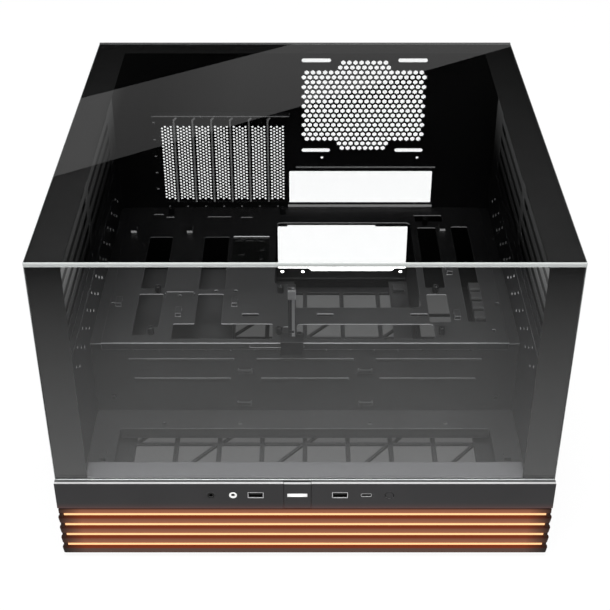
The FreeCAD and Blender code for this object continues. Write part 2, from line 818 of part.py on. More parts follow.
def make_tray():
    openings = []
    for left, right, low, high, radius in PLAIN_OPENINGS.values():
        openings.append(rounded([on_board(*p) for p in corners(left, right, low, high)], radius))
    for points in BENT_OPENINGS.values():
        openings.append(rounded([on_board(*p) for p in points], 1.5))
    inside = [on_board(*p) for p in PROCESSOR_OPENING]
    openings.append(rounded(inside, 6))
    openings.extend(hole(*on_board(*p), 2) for p in TRAY_HOLES)
    half = s.tray_width / 2
    outline = plain(corners(-half, half, tray_edge, frame_rear))
    plate = sheet("tray_plate", outline, openings, s.steel, LYING, (0, 0, tray_under))

    rim_in = rounded(inside, 6)
    rim_out = rim_in.makeOffset2D(RIM_WIDTH)
    rim_depth = 2.5
    rolled = sheet("processor_rim", rim_out, [rim_in], rim_depth, LYING, (0, 0, tray_under - rim_depth))

    track_z = (tray_top - 5.5, tray_top - 3)
    lip_y = (tray_edge, tray_edge + s.steel)
    lip = cut("tray_lip", box("tray_lip_whole", (-half, half), lip_y, (tray_top - s.tray_lip, tray_under)), [
        box("support_track", (-s.support_track_left, -s.support_track_right), lip_y, track_z)])
    lip_x = (s.io_left - s.tray_lip_overlap, s.io_left + s.io_width + s.tray_lip_overlap)
    rear_lip = box("tray_rear_lip", lip_x, (frame_rear - s.steel, frame_rear), (tray_top, tray_top + s.tray_rear_lip))
    parts = [plate, rolled, lip, rear_lip]
    for side, name in ((-1, "left"), (1, "right")):
        parts.append(box("tray_%s_wing" % name, mirrored(side, half - 1, chamber - s.gap),
                         (tray_edge, frame_rear), (tray_under - s.steel, tray_under)))
    for k, (x, y) in enumerate(LOOP_SPOTS):
        y = board + y
        bar_z = (tray_top + s.loop_height - 1.2, tray_top + s.loop_height)
        parts.append(box("loop_bar_%d" % k, (as_size(x - 3), as_size(x + 3)), (y - 6, y + 6), bar_z))
        for end, offset in enumerate((-6, 4.8)):
            parts.append(box("loop_leg_%d_%d" % (k, end), (as_size(x - 3), as_size(x + 3)),
                             (y + offset, y + offset + 1.2), (tray_top, bar_z[0])))
    piece("motherboard_tray", fuse("motherboard_tray", parts))

    posts = []
    for k, (x, y) in enumerate(standoff_spots()):
        y = board - s.standoff_setback + y
        post = doc.addObject("Part::Prism", "standoff_post_%d" % k)
        post.Polygon = 6
        post.setExpression("Circumradius", s.standoff_radius.formula)
        post.setExpression("Height", s.standoff_height.formula)
        for corner, place in zip("xyz", (as_size(x), y, tray_top)):
            post.setExpression(".Placement.Base." + corner, place.formula)
        top = tray_top + s.standoff_height
        bore = rod("standoff_bore_%d" % k, s.standoff_bore,
                   (x, y, top - s.standoff_bore_depth), s.standoff_bore_depth)
        posts.append(cut("standoff_%d" % k, post, [bore]))
    piece("standoffs", group("standoffs", posts))

    grips = []
    grip_left, grip_right = PLAIN_OPENINGS["grip_slot"][:2]
    for k in range(4):
        y = board - 215 + 17 * k
        body = box("grip_block_%d" % k, (as_size(grip_left + 7), grip_right - s.gap), (y - 6.5, y + 6.5),
                   (tray_top - 5, tray_top + 2.5))
        soft = doc.addObject("Part::Fillet", "grip_%d" % k)
        soft.Base = body
        doc.recompute()
        soft.Edges = [(i + 1, 2.2, 2.2) for i, e in enumerate(body.Shape.Edges) if along_x(e)]
        grips.append(soft)
    piece("cable_grips", group("cable_grips", grips))


def along_x(edge):
    """Whether a straight edge runs along X."""
    ends = [v.Point for v in edge.Vertexes]
    return abs(ends[0].y - ends[1].y) < 1e-6 and abs(ends[0].z - ends[1].z) < 1e-6


# Walls and supports below the tray.

def make_lower_chamber():
    wall_y = (tray_edge + s.steel + s.gap, tray_edge + 2 * s.steel + s.gap)
    wall_top = tray_under - s.steel - s.gap
    wall_low = bracket_top + s.gap
    holes = [hole(-164 + 23.1 * k, tray_top - 9.4, 0.9) for k in range(15)]
    half = chamber - s.gap
    outline = plain(corners(-half, half, wall_low, wall_top))
    plate = sheet("middle_wall_plate", outline, holes, s.steel, FACING_FRONT, (0, wall_y[1], 0))
    parts = [plate]
    face = wall_y[0]
    for row, (drop, reach) in enumerate(((20.6, 0), (44.2, 4))):
        for k, (left, right) in enumerate(((-171, -69), (-47, 47), (69, 171))):
            z = tray_top - drop
            parts.append(box("bead_%d_%d" % (row, k), (as_size(left + reach), as_size(right - reach)),
                             (face - 0.8, face), (z - 1.1, z + 1.1)))
    for k, (x, drop) in enumerate(((-58.5, 34), (58.5, 34), (-60, 74), (60, 74))):
        z = tray_top - drop
        parts.append(box("wall_loop_%d" % k, (as_size(x - 7), as_size(x + 7)), (face - 2.4, face - 1.4),
                         (z - 2.2, z + 2.2)))
        for end, offset in enumerate((-7, 5.8)):
            parts.append(box("wall_loop_leg_%d_%d" % (k, end), (as_size(x + offset), as_size(x + offset + 1.2)),
                             (face - 1.4, face), (z - 2.2, z + 2.2)))
    piece("middle_wall", fuse("middle_wall", parts))

    outer = chamber - s.gap
    inner = outer - s.bracket_side_rail
    rear_edge = tray_edge + 12
    rear_inner = rear_edge - s.bracket_rear_rail
    front_edge = front_wall + s.steel + s.gap
    front_inner = front_edge + 22
    spots = [(x, float(tray_edge) - 19) for x in (-138, -64, 64, 138)]
    openings = [oblong(-inner, inner, front_inner, rear_inner, 3)] + [hole(x, y, 2) for x, y in spots]
    outline = plain(corners(-outer, outer, front_edge, rear_edge))
    plate = sheet("fan_bracket_plate", outline, openings, s.steel, LYING, (0, 0, bracket_top - s.steel))
    low = bracket_top - s.bracket_drop
    depth = (front_edge, rear_edge)
    parts = [
        plate,
        box("bracket_rear_drop", (-inner, inner), (rear_inner, rear_inner + s.steel), (low, bracket_top - s.steel)),
        box("bracket_front_drop", (-inner, inner), (front_inner - s.steel, front_inner),
            (low, bracket_top - s.steel)),
    ]
    for side, name in ((-1, "left"), (1, "right")):
        parts.append(box("bracket_%s_foot" % name, mirrored(side, outer - s.steel, outer), depth,
                         (frame_base, bracket_top - s.steel)))
        x = side * (inner + 11)
        y = tray_edge - 70
        parts.append(box("bracket_%s_loop" % name, (x - 3, x + 3), (y - 5, y + 5), (bracket_top + 3, bracket_top + 4.2)))
        for end, offset in enumerate((-5, 3.8)):
            parts.append(box("bracket_%s_leg_%d" % (name, end), (x - 3, x + 3), (y + offset, y + offset + 1.2),
                             (bracket_top, bracket_top + 3)))
    piece("front_fan_bracket", fuse("front_fan_bracket", parts))

    screws = []
    for side in (-1, 1):
        x = side * (chamber - 18)
        z = bracket_top + 17
        screws.append(rod("bracket_screw_%d" % (side + 1), 2.6, (x, face - 1.8, z), 1.8, "y"))
    piece("bracket_screws", group("bracket_screws", screws))

    wall_z = (frame_base, strip_top - s.steel)
    half = chamber - s.gap
    ledge_y = (front_wall, front_wall + s.ledge_depth)
    ledge = (-s.ledge_half, s.ledge_half)
    parts = [
        box("front_wall_plate", (-half, half), (front_wall, front_wall + s.steel), wall_z),
        box("front_ledge", ledge, ledge_y, (strip_top - s.steel, strip_top)),
        box("front_ledge_lip", ledge, (ledge_y[1] - s.steel, ledge_y[1]),
            (strip_top - s.ledge_lip, strip_top - s.steel)),
    ]
    piece("front_frame", fuse("front_frame", parts))

    left = s.supply_left
    right = s.supply_left + s.supply_width
    depth = (board - 150, frame_rear - 5)
    supply_base = s.foot_height + s.supply_low
    pad_height = 4
    shelf_z = (supply_base - pad_height - s.steel, supply_base - pad_height)
    top_z = tray_under - s.gap
    pads = []
    for name, x, inward in (("left", left - 1 - s.steel, 1), ("right", right + 1, -1)):
        shelf_x = (x + s.steel, x + 22) if inward > 0 else (x - 21, x)
        hook_x = (x - 3, x) if inward > 0 else (x + s.steel, x + s.steel + 3)
        support = fuse("power_supply_support_" + name, [
            box("supply_side_" + name, (x, x + s.steel), depth, (shelf_z[0], top_z)),
            box("supply_shelf_" + name, shelf_x, depth, shelf_z),
            box("supply_hook_" + name, hook_x, depth, (top_z - s.steel, top_z)),
        ])
        piece("power_supply_support_" + name, support)
        for end, y in enumerate((depth[0] + 12, depth[1] - 24)):
            pads.append(box("supply_pad_%s_%d" % (name, end), (shelf_x[0] + 4, shelf_x[1] - 4), (y, y + 12),
                            (shelf_z[1], supply_base)))
    piece("power_supply_pads", group("power_supply_pads", pads))

    plate_z = (tray_top - 45, tray_top - 45 + s.steel)
    narrow = (as_size(-188), as_size(-140))
    wide = (as_size(-188), as_size(-72))
    front_y = (tray_edge + 6, tray_edge + 62)
    rear_y = (tray_edge + 62, board - 60)
    outer_x = (wide[0], wide[0] + s.steel)
    inner_x = (wide[1] - s.steel, wide[1])
    side_z = (plate_z[1], tray_under - s.gap)
    piece("drive_tray", fuse("drive_tray", [
        box("drive_plate_front", narrow, front_y, plate_z),
        box("drive_plate_rear", wide, rear_y, plate_z),
        box("drive_side_outer", outer_x, (front_y[0], rear_y[1]), side_z),
        box("drive_side_inner", inner_x, (rear_y[0], rear_y[0] + 40), side_z),
    ]))

    left, right, low, high = PLAIN_OPENINGS["board_window"][:4]
    hub_z = (tray_under - s.gap - 1.6, tray_under - s.gap)
    hub = [box("hub_plate", (as_size(left - 5), as_size(right + 0.5)), (board + low - 5, board + high + 5), hub_z)]
    for k, (x, y, wide, deep) in enumerate(((-72, -73, 8, 4), (-60, -73, 8, 4), (-48, -73, 6, 4), (-46, -90, 4, 9),
                                            (-46, -108, 4, 9), (-68, -100, 7, 7))):
        hub.append(box("hub_plug_%d" % k, (as_size(x - wide / 2), as_size(x + wide / 2)),
                       (board + y - deep / 2, board + y + deep / 2), (hub_z[1], hub_z[1] + 1.1)))
    piece("hub_board", fuse("hub_board", hub))


# Floor: panel, filter and feet.

def make_floor():
    openings = []
    for row in range(12):
        for k in range(10):
            x = (k - 4.5) * 38
            y = (row - 5.5) * 31
            if abs(x) < 140 or abs(y) < 150:
                openings.append(slot(x, y, 32, 6))
    outline = plain(corners(-skin_out, skin_out, frame_front, rear))
    panel = sheet("bottom_panel", outline, openings, s.steel, LYING, (0, 0, s.foot_height))
    piece("bottom_panel", panel)

    low = floor_top + 0.7
    top = s.foot_height + s.filter_rise
    mesh_top = low + 0.3
    half = s.filter_half_width
    span = (front + 13, rear - 12)
    mesh = box("bottom_filter_mesh", (-half, half), span, (low - 0.4, mesh_top))
    piece("bottom_filter_mesh", mesh)

    pitch = float(s.lattice_pitch)
    step = float(s.lattice_row)
    rib = float(s.rib_width)
    slack = float(s.brace_width) * math.sqrt(2) / 2
    openings = []
    for row in range(-5, 4):
        y0 = float(s.lattice_start) + step * row + rib / 4
        y1 = y0 + step - rib / 2
        for column in range(-4, 4):
            x0 = pitch * column + rib / 2
            x1 = x0 + pitch - rib
            y1 = min(y1, float(span[1]) - rib)
            y0 = max(y0, float(span[0]) + rib)
            if (column + row) % 2 or row == 3:
                openings.append(plain([(x0, y0), (x1, y0), (x1, y1), (x0, y1)]))
                continue
            openings.append(plain([(x0, y0 + slack), (x1 - slack, y1), (x0, y1)]))
            openings.append(plain([(x0 + slack, y0), (x1, y0), (x1, y1 - slack)]))
    outline = oblong(-half, half, span[0], span[1], 4)
    lattice = sheet("bottom_filter_frame", outline, openings, top - mesh_top, LYING, (0, 0, mesh_top))
    piece("bottom_filter_frame", lattice)

    feet = []
    for k, (a, b) in enumerate(((-1, -1), (1, -1), (1, 1), (-1, 1))):
        body = doc.addObject("PartDesign::Body", "foot_%d" % k)
        drawing = sketch_on(body, "XY_Plane")
        draw_circle(drawing, s.foot_radius)
        raised = pad(body, drawing, s.foot_height)
        doc.recompute()
        edge = body.newObject("PartDesign::Chamfer", "foot_edge_%d" % k)
        edge.Base = (raised, ["Edge%d" % (i + 1) for i, e in enumerate(raised.Shape.Edges)
                              if e.BoundBox.ZMax < 1e-6])
        edge.Size = 1
        lift(body, a * s.foot_reach_x, b * s.foot_reach_y, 0)
        feet.append(body)
    piece("feet", group("feet", feet))


# Control strip.

def strip_cutouts():
    """Openings of the control strip, drawn as seen from the front."""
    z = float(control_z)
    wide = float(s.usb_width) / 2 + 0.2
    tall = float(s.usb_height) / 2 + 0.2
    outlines = [oblong(float(x) - wide, float(x) + wide, z - tall, z + tall, 0.8)
                for x in (s.usb_left_x, s.usb_right_x)]
    outlines.append(slot(s.usbc_x, z, s.usbc_width + 0.4, s.usbc_height + 0.4))
    outlines.append(hole(s.mic_x, z, s.jack_radius + 0.2))
    outlines.append(hole(s.headset_x, z, s.jack_radius + 0.2))
    outlines.append(hole(s.round_button_x, z, s.round_button_radius + s.button_clearance))
    return outlines


def make_strip():
    half = s.case_width / 2
    outline = plain(corners(-half, half, strip_low, strip_top))
    wall_back = front + s.strip_wall
    plate = sheet("strip_face", outline, strip_cutouts(), s.strip_wall, FACING_FRONT, (0, wall_back, 0))
    behind = (wall_back, strip_back)
    rim_t = as_size(2)
    parts = [
        plate,
        box("strip_top_rim", (-half, half), behind, (strip_top - rim_t, strip_top)),
        box("strip_low_rim", (-half, half), behind, (strip_low, strip_low + rim_t)),
        box("strip_left_rim", (-half, -half + rim_t), behind, (strip_low, strip_top)),
        box("strip_right_rim", (half - rim_t, half), behind, (strip_low, strip_top)),
    ]
    for k, x in enumerate((-196, -110, 110, 196)):
        parts.append(rod("strip_lug_%d" % k, 4, (x, wall_back, control_z), front_wall - s.gap - wall_back, "y"))
    button_x = (s.button_left, s.button_left + s.button_width)
    shell = fuse("control_strip_shell", parts)
    window = box("button_window", button_x, (front, wall_back), (strip_low, strip_top))
    sill = box("button_window_top", button_x, behind, (strip_top - rim_t, strip_top))
    step = box("button_window_low", button_x, behind, (strip_low, strip_low + rim_t))
    strip = cut("control_strip", shell, [fuse("button_gate", [window, sill, step])])
    piece("control_strip", strip)

    clear = s.button_clearance
    x = (button_x[0] + clear, button_x[1] - clear)
    z = (strip_low + clear, strip_top - clear)
    bar_x = (s.bar_left, s.bar_left + s.bar_width)
    bar_z = (control_z - s.bar_height / 2, control_z + s.bar_height / 2)
    cap = box("power_cap", x, (front, front + s.button_depth), z)
    well = box("power_well", bar_x, (front, front + 1.6), bar_z)
    piece("power_button", cut("power_button", cap, [well]))
    piece("power_button_light", box("power_button_light", bar_x, (front + 0.2, front + 1.6), bar_z))

    body = doc.addObject("PartDesign::Body", "round_button")
    drawing = sketch_on(body, "XZ_Plane")
    draw_circle(drawing, s.round_button_radius)
    raised = pad(body, drawing, s.button_depth)
    doc.recompute()
    edge = body.newObject("PartDesign::Chamfer", "round_button_edge")
    edge.Base = (raised, ["Edge%d" % (i + 1) for i, e in enumerate(raised.Shape.Edges)
                          if e.BoundBox.YMax < -float(s.button_depth) + 1e-6])
    edge.Size = 0.4
    lift(body, s.round_button_x, front + s.button_depth, control_z)
    piece("round_button", body)

    board_y = (strip_back - s.board_thickness, strip_back)
    board_x = (s.mic_x - 8, s.round_button_x + 10)
    circuit = box("control_board", board_x, board_y, (control_z - 9, control_z + 9))
    piece("control_board", circuit)
    gate = board_y[0] - (front + s.button_depth + s.button_travel)
    switches = []
    for name, x in (("power", s.button_left + s.button_width / 2), ("round", s.round_button_x)):
        switches.append(box("switch_" + name, (x - 3, x + 3), (board_y[0] - gate + s.gap, board_y[0]),
                            (control_z - 3, control_z + 3)))
    piece("button_switches", group("button_switches", switches))

    reach = board_y[0] - front
    microphone = tube("microphone_jack", s.jack_radius, s.jack_bore, (s.mic_x, front, control_z), reach, "y")
    piece("microphone_jack", microphone)
    headset_start = (s.headset_x, front + s.ring_depth, control_z)
    headset = tube("headset_jack", s.jack_radius, s.jack_bore, headset_start, reach - s.ring_depth, "y")
    piece("headset_jack", headset)
    ring = tube("headset_ring", s.jack_radius, s.jack_bore, (s.headset_x, front, control_z), s.ring_depth, "y")
    piece("headset_ring", ring)

    for name, x in (("usb_socket_left", s.usb_left_x), ("usb_socket_right", s.usb_right_x)):
        wide, tall = s.usb_width / 2, s.usb_height / 2
        outside = box(name + "_shell", (x - wide, x + wide), (front + 0.3, board_y[0]),
                      (control_z - tall, control_z + tall))
        hollow = box(name + "_hollow", (x - wide + 0.6, x + wide - 0.6), (front + 0.3, board_y[0] - 0.8),
                     (control_z - tall + 0.6, control_z + tall - 0.6))
        tongue = box(name + "_tongue", (x - wide + 1.6, x + wide - 1.6), (front + 0.9, board_y[0] - 0.8),
                     (control_z + 0.5, control_z + 2.2))
        shell = cut(name + "_case", outside, [hollow])
        piece(name, fuse(name, [shell, tongue]))

    wire = slot(s.usbc_x, control_z, s.usbc_width, s.usbc_height)
    inner = slot(s.usbc_x, control_z, s.usbc_width - 0.8, s.usbc_height - 0.8)
    shell = sheet("usbc_shell", wire, [inner], reach - 0.3, FACING_FRONT, (0, board_y[0], 0))
    back = sheet("usbc_back", inner, [], 0.8, FACING_FRONT, (0, board_y[0], 0))
    x = s.usbc_x
    tongue = box("usbc_tongue", (x - 3.3, x + 3.3), (front + 0.9, board_y[0] - 0.8),
                 (control_z - 0.35, control_z + 0.35))
    piece("usb_c_socket", fuse("usb_c_socket", [shell, back, tongue]))


# Louvre and its light bars.

def make_louvre():
    half = s.case_width / 2 + s.louvre_overhang
    notch = s.case_width / 2 - 0.7
    rail_top = strip_low - s.rail_drop
    low = strip_low - s.slat_first_drop - s.slat_pitch * (s.slat_count - 1) - s.slat_height
    back = (front + s.groove_depth + s.light_depth + s.gap, strip_back)
    parts = [box("louvre_back", (-notch, notch), back, (low, rail_top)),
             box("louvre_rail", (-notch, notch), (front, back[0]), (rail_top - s.rail_height, rail_top))]
    for side, name in ((-1, "left"), (1, "right")):
        parts.append(box("louvre_%s_end" % name, mirrored(side, s.light_half + s.gap, notch),
                         (front + 1.5, back[0]), (low, rail_top - s.rail_height)))
    for k in range(int(float(s.slat_count))):
        nose = strip_low - s.slat_first_drop - s.slat_pitch * k
        parts.append(shape_slat(k, nose, half, back[0] - front))
    for k, x in enumerate((-196, -66, 66, 196)):
        parts.append(rod("louvre_lug_%d" % k, 4, (x, strip_back, (low + rail_top) / 2),
                         front_wall - s.gap - strip_back, "y"))
    piece("louvre_panel", fuse("louvre_panel", parts))

    for k in range(int(float(s.slat_count))):
        nose = strip_low - s.slat_first_drop - s.slat_pitch * k
        start = front + s.groove_depth
        bar = box("light_bar_%d" % (k + 1), (-s.light_half, s.light_half), (start, start + s.light_depth),
                  (nose + s.light_rise, nose + s.light_rise + s.light_height))
        piece("light_bar_%d" % (k + 1), bar)


def shape_slat(k, nose, half, depth):
    """One slat of the louvre: flat on top, its face leaning in towards the bottom, its ends rounded."""
    item = doc.addObject("Part::Feature", "slat_%d" % k)
    h, d, drop, lean = float(half), float(depth), float(s.slat_height), float(s.slat_draft)
    y = float(front)
    ends = 2.0
    top = rounded([(-h, y), (h, y), (h, y + d), (-h, y + d)], ends)
    foot = rounded([(-h + lean, y + lean), (h - lean, y + lean), (h - lean, y + d), (-h + lean, y + d)], ends)
    top.translate(Vector(0, 0, float(nose)))
    foot.translate(Vector(0, 0, float(nose) - drop))
    item.Shape = Part.makeLoft([foot, top], True)
    return item


# Graphics card support.

def make_card_support():
    x = s.support_x
    half = s.support_width / 2
    wide = (x - half, x + half)
    plate_z = (tray_top + s.gap, tray_top + s.gap + 3.5)
    leg_y = (tray_edge - s.gap - 4, tray_edge - s.gap)
    post_y = tray_edge + 8
    key = box("support_key", (x - 5, x + 5), (leg_y[1], tray_edge + s.steel), (tray_top - 5.2, tray_top - 3.3))
    clamp = fuse("card_support_clamp", [
        box("support_plate", wide, (leg_y[0], post_y + 3.8), plate_z),
        box("support_leg", wide, leg_y, (tray_top - 13, plate_z[0])),
        key,
    ])
    piece("card_support_clamp", clamp)
    wide = (x - s.post_width / 2, x + s.post_width / 2)
    deep = (post_y - s.post_depth / 2, post_y + s.post_depth / 2)
    base = plate_z[1]
    top = tray_top + s.post_height
    channel = box("post_channel", (wide[0] + s.post_wall, wide[1] - s.post_wall), (deep[0], deep[1] - s.post_wall),
                  (base + 4, top - 1.5))
    piece("card_support_post", cut("card_support_post", box("post_whole", wide, deep, (base, top)), [channel]))

    head_z = (top - 12, top - 2)
    slide_x = (wide[0] + s.post_wall + 0.2, wide[1] - s.post_wall - 0.2)
    head = fuse("card_support_head", [
        box("head_face", wide, (deep[0] - s.gap - 2.4, deep[0] - s.gap), head_z),
        box("head_tongue", slide_x, (deep[0] - s.gap, deep[1] - s.post_wall - 0.2), (head_z[0] + 1, head_z[1] - 1)),
    ])
    piece("card_support_head", head)
    screw_spot = (x + half - 4, post_y, base)
    piece("card_support_screw", rod("card_support_screw", 2.8, screw_spot, 2))


def save_pieces():
    """Check every object and write each sub-part to its own file."""
    doc.recompute()
    for item in doc.Objects:
        if "Invalid" in item.State or "Error" in item.State:
            raise RuntimeError("failed object: " + item.Name)
    os.makedirs("parts", exist_ok=True)
    for item in pieces:
        shape = item.Shape
        if shape.isNull() or not shape.isValid() or not shape.Solids:
            raise RuntimeError("bad shape: " + item.Label)
        shape.exportStep("parts/%s.step" % item.Label)


make_glass()
for side, name in ((-1, "left"), (1, "right")):
    make_side(side, name)
make_rear()
make_tray()
make_lower_chamber()
make_floor()
make_strip()
make_louvre()
make_card_support()
save_pieces()
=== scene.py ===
import math

import bpy
import numpy as np
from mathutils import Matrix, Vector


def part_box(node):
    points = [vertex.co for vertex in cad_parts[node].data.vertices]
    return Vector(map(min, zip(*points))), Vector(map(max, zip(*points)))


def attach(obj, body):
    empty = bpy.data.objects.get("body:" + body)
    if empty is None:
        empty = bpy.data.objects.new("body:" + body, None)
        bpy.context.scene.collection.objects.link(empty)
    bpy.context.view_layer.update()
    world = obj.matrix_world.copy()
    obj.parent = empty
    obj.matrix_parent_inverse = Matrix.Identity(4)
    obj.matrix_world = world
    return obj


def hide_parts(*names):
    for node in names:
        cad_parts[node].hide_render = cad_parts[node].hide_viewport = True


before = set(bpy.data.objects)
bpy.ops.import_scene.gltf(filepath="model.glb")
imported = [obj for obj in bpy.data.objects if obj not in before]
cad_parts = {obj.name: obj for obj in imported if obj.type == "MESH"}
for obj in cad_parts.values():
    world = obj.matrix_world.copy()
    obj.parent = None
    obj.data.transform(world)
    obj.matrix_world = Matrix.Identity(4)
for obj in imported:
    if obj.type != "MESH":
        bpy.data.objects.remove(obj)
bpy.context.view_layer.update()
bpy.context.scene.view_settings.view_transform = "Standard"

# Camera. It stands in front of the case and above it, centred, and looks down at the glass.
EYE_PLACE = (0, -1.019, 0.8162)
EYE_TILT = 55.87
EYE_LENS = 73.55
EYE_SENSOR = 36
EYE_REACH = 80
eye = bpy.data.objects.new("camera", bpy.data.cameras.new("camera"))
eye.data.sensor_width = EYE_SENSOR
eye.data.lens = EYE_LENS
eye.data.clip_end = EYE_REACH
eye.location = EYE_PLACE
eye.rotation_euler = (math.radians(EYE_TILT), 0, 0)
bpy.context.scene.collection.objects.link(eye)
bpy.context.scene.camera = eye


# The studio: a wide pale floor, a white surround, soft lamps and one dim card that the top glass
# reflects. Cameras and clear glass see plain white; the object sees a quieter level.
def add(tree, kind, sockets=None, **settings):
    """A node of the kind; a socket's value is a number, a colour, or another node's output."""
    node = tree.nodes.new("ShaderNode" + kind)
    for name, value in settings.items():
        setattr(node, name, value)
    for name, value in (sockets or {}).items():
        if isinstance(value, bpy.types.NodeSocket):
            tree.links.new(value, node.inputs[name])
        else:
            node.inputs[name].default_value = value
    return node


def calc(tree, operation, *values, clamp=False):
    """One step of arithmetic."""
    node = add(tree, "Math", dict(enumerate(values)), operation=operation, use_clamp=clamp)
    return node.outputs[0]


def along(tree, axis):
    """The point's own coordinate on one axis."""
    return add(tree, "SeparateXYZ", {0: add(tree, "TexCoord").outputs["Object"]}).outputs[axis]


def spread(tree, value, start, end, first, last):
    """A value that goes from first to last as the given one goes from start to end."""
    return add(tree, "MapRange", {"Value": value, "From Min": start, "From Max": end,
                                  "To Min": first, "To Max": last}).outputs[0]


def grey(tree, value):
    """A colour with the value in each channel."""
    return add(tree, "CombineColor", {0: value, 1: value, 2: value}).outputs[0]


SEEN_THROUGH_GLASS = 6.9
SKY_ON_OBJECT = 0.40
SKY_INSIDE = 0.06


def seen_white(tree):
    """1 where a camera looks straight at something; more through the smoked glass, which dims it again."""
    path = add(tree, "LightPath").outputs
    through = calc(tree, "MULTIPLY", path["Is Transmission Ray"], SEEN_THROUGH_GLASS)
    direct = calc(tree, "MAXIMUM", path["Is Camera Ray"], through)
    plain = calc(tree, "LESS_THAN", calc(tree, "ADD", path["Diffuse Depth"], path["Glossy Depth"]), 0.5)
    return calc(tree, "MULTIPLY", direct, plain), path


world = bpy.data.worlds.new("surround")
world.use_nodes = True
sky = world.node_tree
sky.nodes.clear()
white, path = seen_white(sky)
bounced = calc(sky, "GREATER_THAN", path["Diffuse Depth"], 0.5)
through = calc(sky, "MULTIPLY", path["Is Transmission Ray"], SKY_INSIDE)
outside = calc(sky, "MULTIPLY", path["Is Diffuse Ray"], SKY_ON_OBJECT)
ambient = calc(sky, "MULTIPLY", calc(sky, "MAXIMUM", through, outside), bounced)
level = calc(sky, "MAXIMUM", ambient, white)
back = add(sky, "Background", {"Color": (1, 1, 1, 1), "Strength": level})
sky.links.new(back.outputs[0], add(sky, "OutputWorld").inputs[0])
bpy.context.scene.world = world


def mesh_object(name, points, faces, smooth=False):
    """A mesh object at the origin from an array of points and a list of faces."""
    mesh = bpy.data.meshes.new(name)
    mesh.from_pydata(np.asarray(points, float).reshape(-1, 3).tolist(), [], [list(f) for f in faces])
    mesh.update()
    if smooth:
        mesh.shade_smooth()
    item = bpy.data.objects.new(name, mesh)
    bpy.context.scene.collection.objects.link(item)
    return item


def surface(name):
    """A new node material, its tree, and its empty output."""
    material = bpy.data.materials.new(name)
    material.use_nodes = True
    material.node_tree.nodes.clear()
    return material, material.node_tree, add(material.node_tree, "OutputMaterial")


FLOOR_REACH = 14
FLOOR_IN_VIEW = 0.93
FLOOR_MIRRORED = (0.30, 0.70, 0.83, 0.04)
corners = [(x * FLOOR_REACH, y * FLOOR_REACH, 0) for x, y in ((-1, -1), (1, -1), (1, 1), (-1, 1))]
floor = mesh_object("floor", corners, [(0, 1, 2, 3)])
floor_white, tree, out = surface("floor_white")
white, path = seen_white(tree)
# Painted reflection: for glossy rays the floor glows brighter close to the case and greyer further out, and the
# front glass mirrors it.
distance = calc(tree, "MULTIPLY", along(tree, "Y"), -1.0)
fade = spread(tree, distance, *FLOOR_MIRRORED)
in_front = calc(tree, "GREATER_THAN", distance, 0.0)
glossy = calc(tree, "GREATER_THAN", path["Glossy Depth"], 0.5)
mirrored = calc(tree, "MULTIPLY", calc(tree, "MULTIPLY", glossy, fade), in_front)
glow = calc(tree, "ADD", calc(tree, "MULTIPLY", white, FLOOR_IN_VIEW), mirrored)
seen = calc(tree, "MINIMUM", white, 1.0)
plain = add(tree, "BsdfDiffuse", {"Color": (0.62, 0.62, 0.62, 1)})
shade = add(tree, "BsdfDiffuse", {"Color": (0.05, 0.05, 0.05, 1)})
dark = add(tree, "BsdfDiffuse", {"Color": (0, 0, 0, 1)})
base = add(tree, "MixShader", {0: glossy, 1: plain.outputs[0], 2: dark.outputs[0]})
base = add(tree, "MixShader", {0: seen, 1: base.outputs[0], 2: shade.outputs[0]})
lit = add(tree, "Emission", {"Color": (1, 1, 1, 1), "Strength": glow})
total = add(tree, "AddShader", {0: base.outputs[0], 1: lit.outputs[0]})
tree.links.new(total.outputs[0], out.inputs[0])
floor.data.materials.append(floor_white)

CARD_CORNERS = [(-1.89, 5.57, 3.0), (0.17, 6.94, 3.0), (1.61, 6.90, 3.0), (-1.70, 4.70, 3.0)]
card = mesh_object("reflected_card", CARD_CORNERS, [(0, 1, 2, 3)])
card_grey, tree, out = surface("card_grey")
left = spread(tree, along(tree, "X"), -1.20, -1.10, 0.16, 0.0)
right = spread(tree, along(tree, "X"), -0.90, -0.40, 0.26, 0.36)
strength = calc(tree, "ADD", left, right)
tree.links.new(add(tree, "Emission", {"Strength": strength}).outputs[0], out.inputs[0])
card.data.materials.append(card_grey)
for ray in ("camera", "diffuse", "transmission", "shadow", "volume_scatter"):
    setattr(card, "visible_" + ray, False)


def lamp(name, place, target, size, watts):
    """A square soft lamp that faces the target; glass dims it by its own shadow colour."""
    light = bpy.data.objects.new(name, bpy.data.lights.new(name, "AREA"))
    light.data.size = size
    light.data.energy = watts
    light.location = place
    light.visible_transmission = False
    aim = np.subtract(target, place)
    flat = math.hypot(aim[0], aim[1])
    light.rotation_euler = (math.atan2(flat, -aim[2]), 0, math.atan2(aim[1], aim[0]) - math.pi / 2)
    bpy.context.scene.collection.objects.link(light)


LAMPS = (
    ("overhead", (0, -0.75, 3.0), (0, -0.05, 0.15), 1.4, 115),
    ("front_soft", (0, -2.5, 1.45), (0, -0.1, 0.15), 1.2, 30),
    ("left_soft", (-2.6, -0.3, 1.6), (0, 0, 0.15), 1.4, 16),
    ("right_soft", (2.6, 0.1, 1.6), (0, 0, 0.15), 1.4, 13),
    ("rear_soft", (-0.9, 1.6, 2.9), (0, 0, 0.15), 1.5, 20),
)
for settings in LAMPS:
    lamp(*settings)
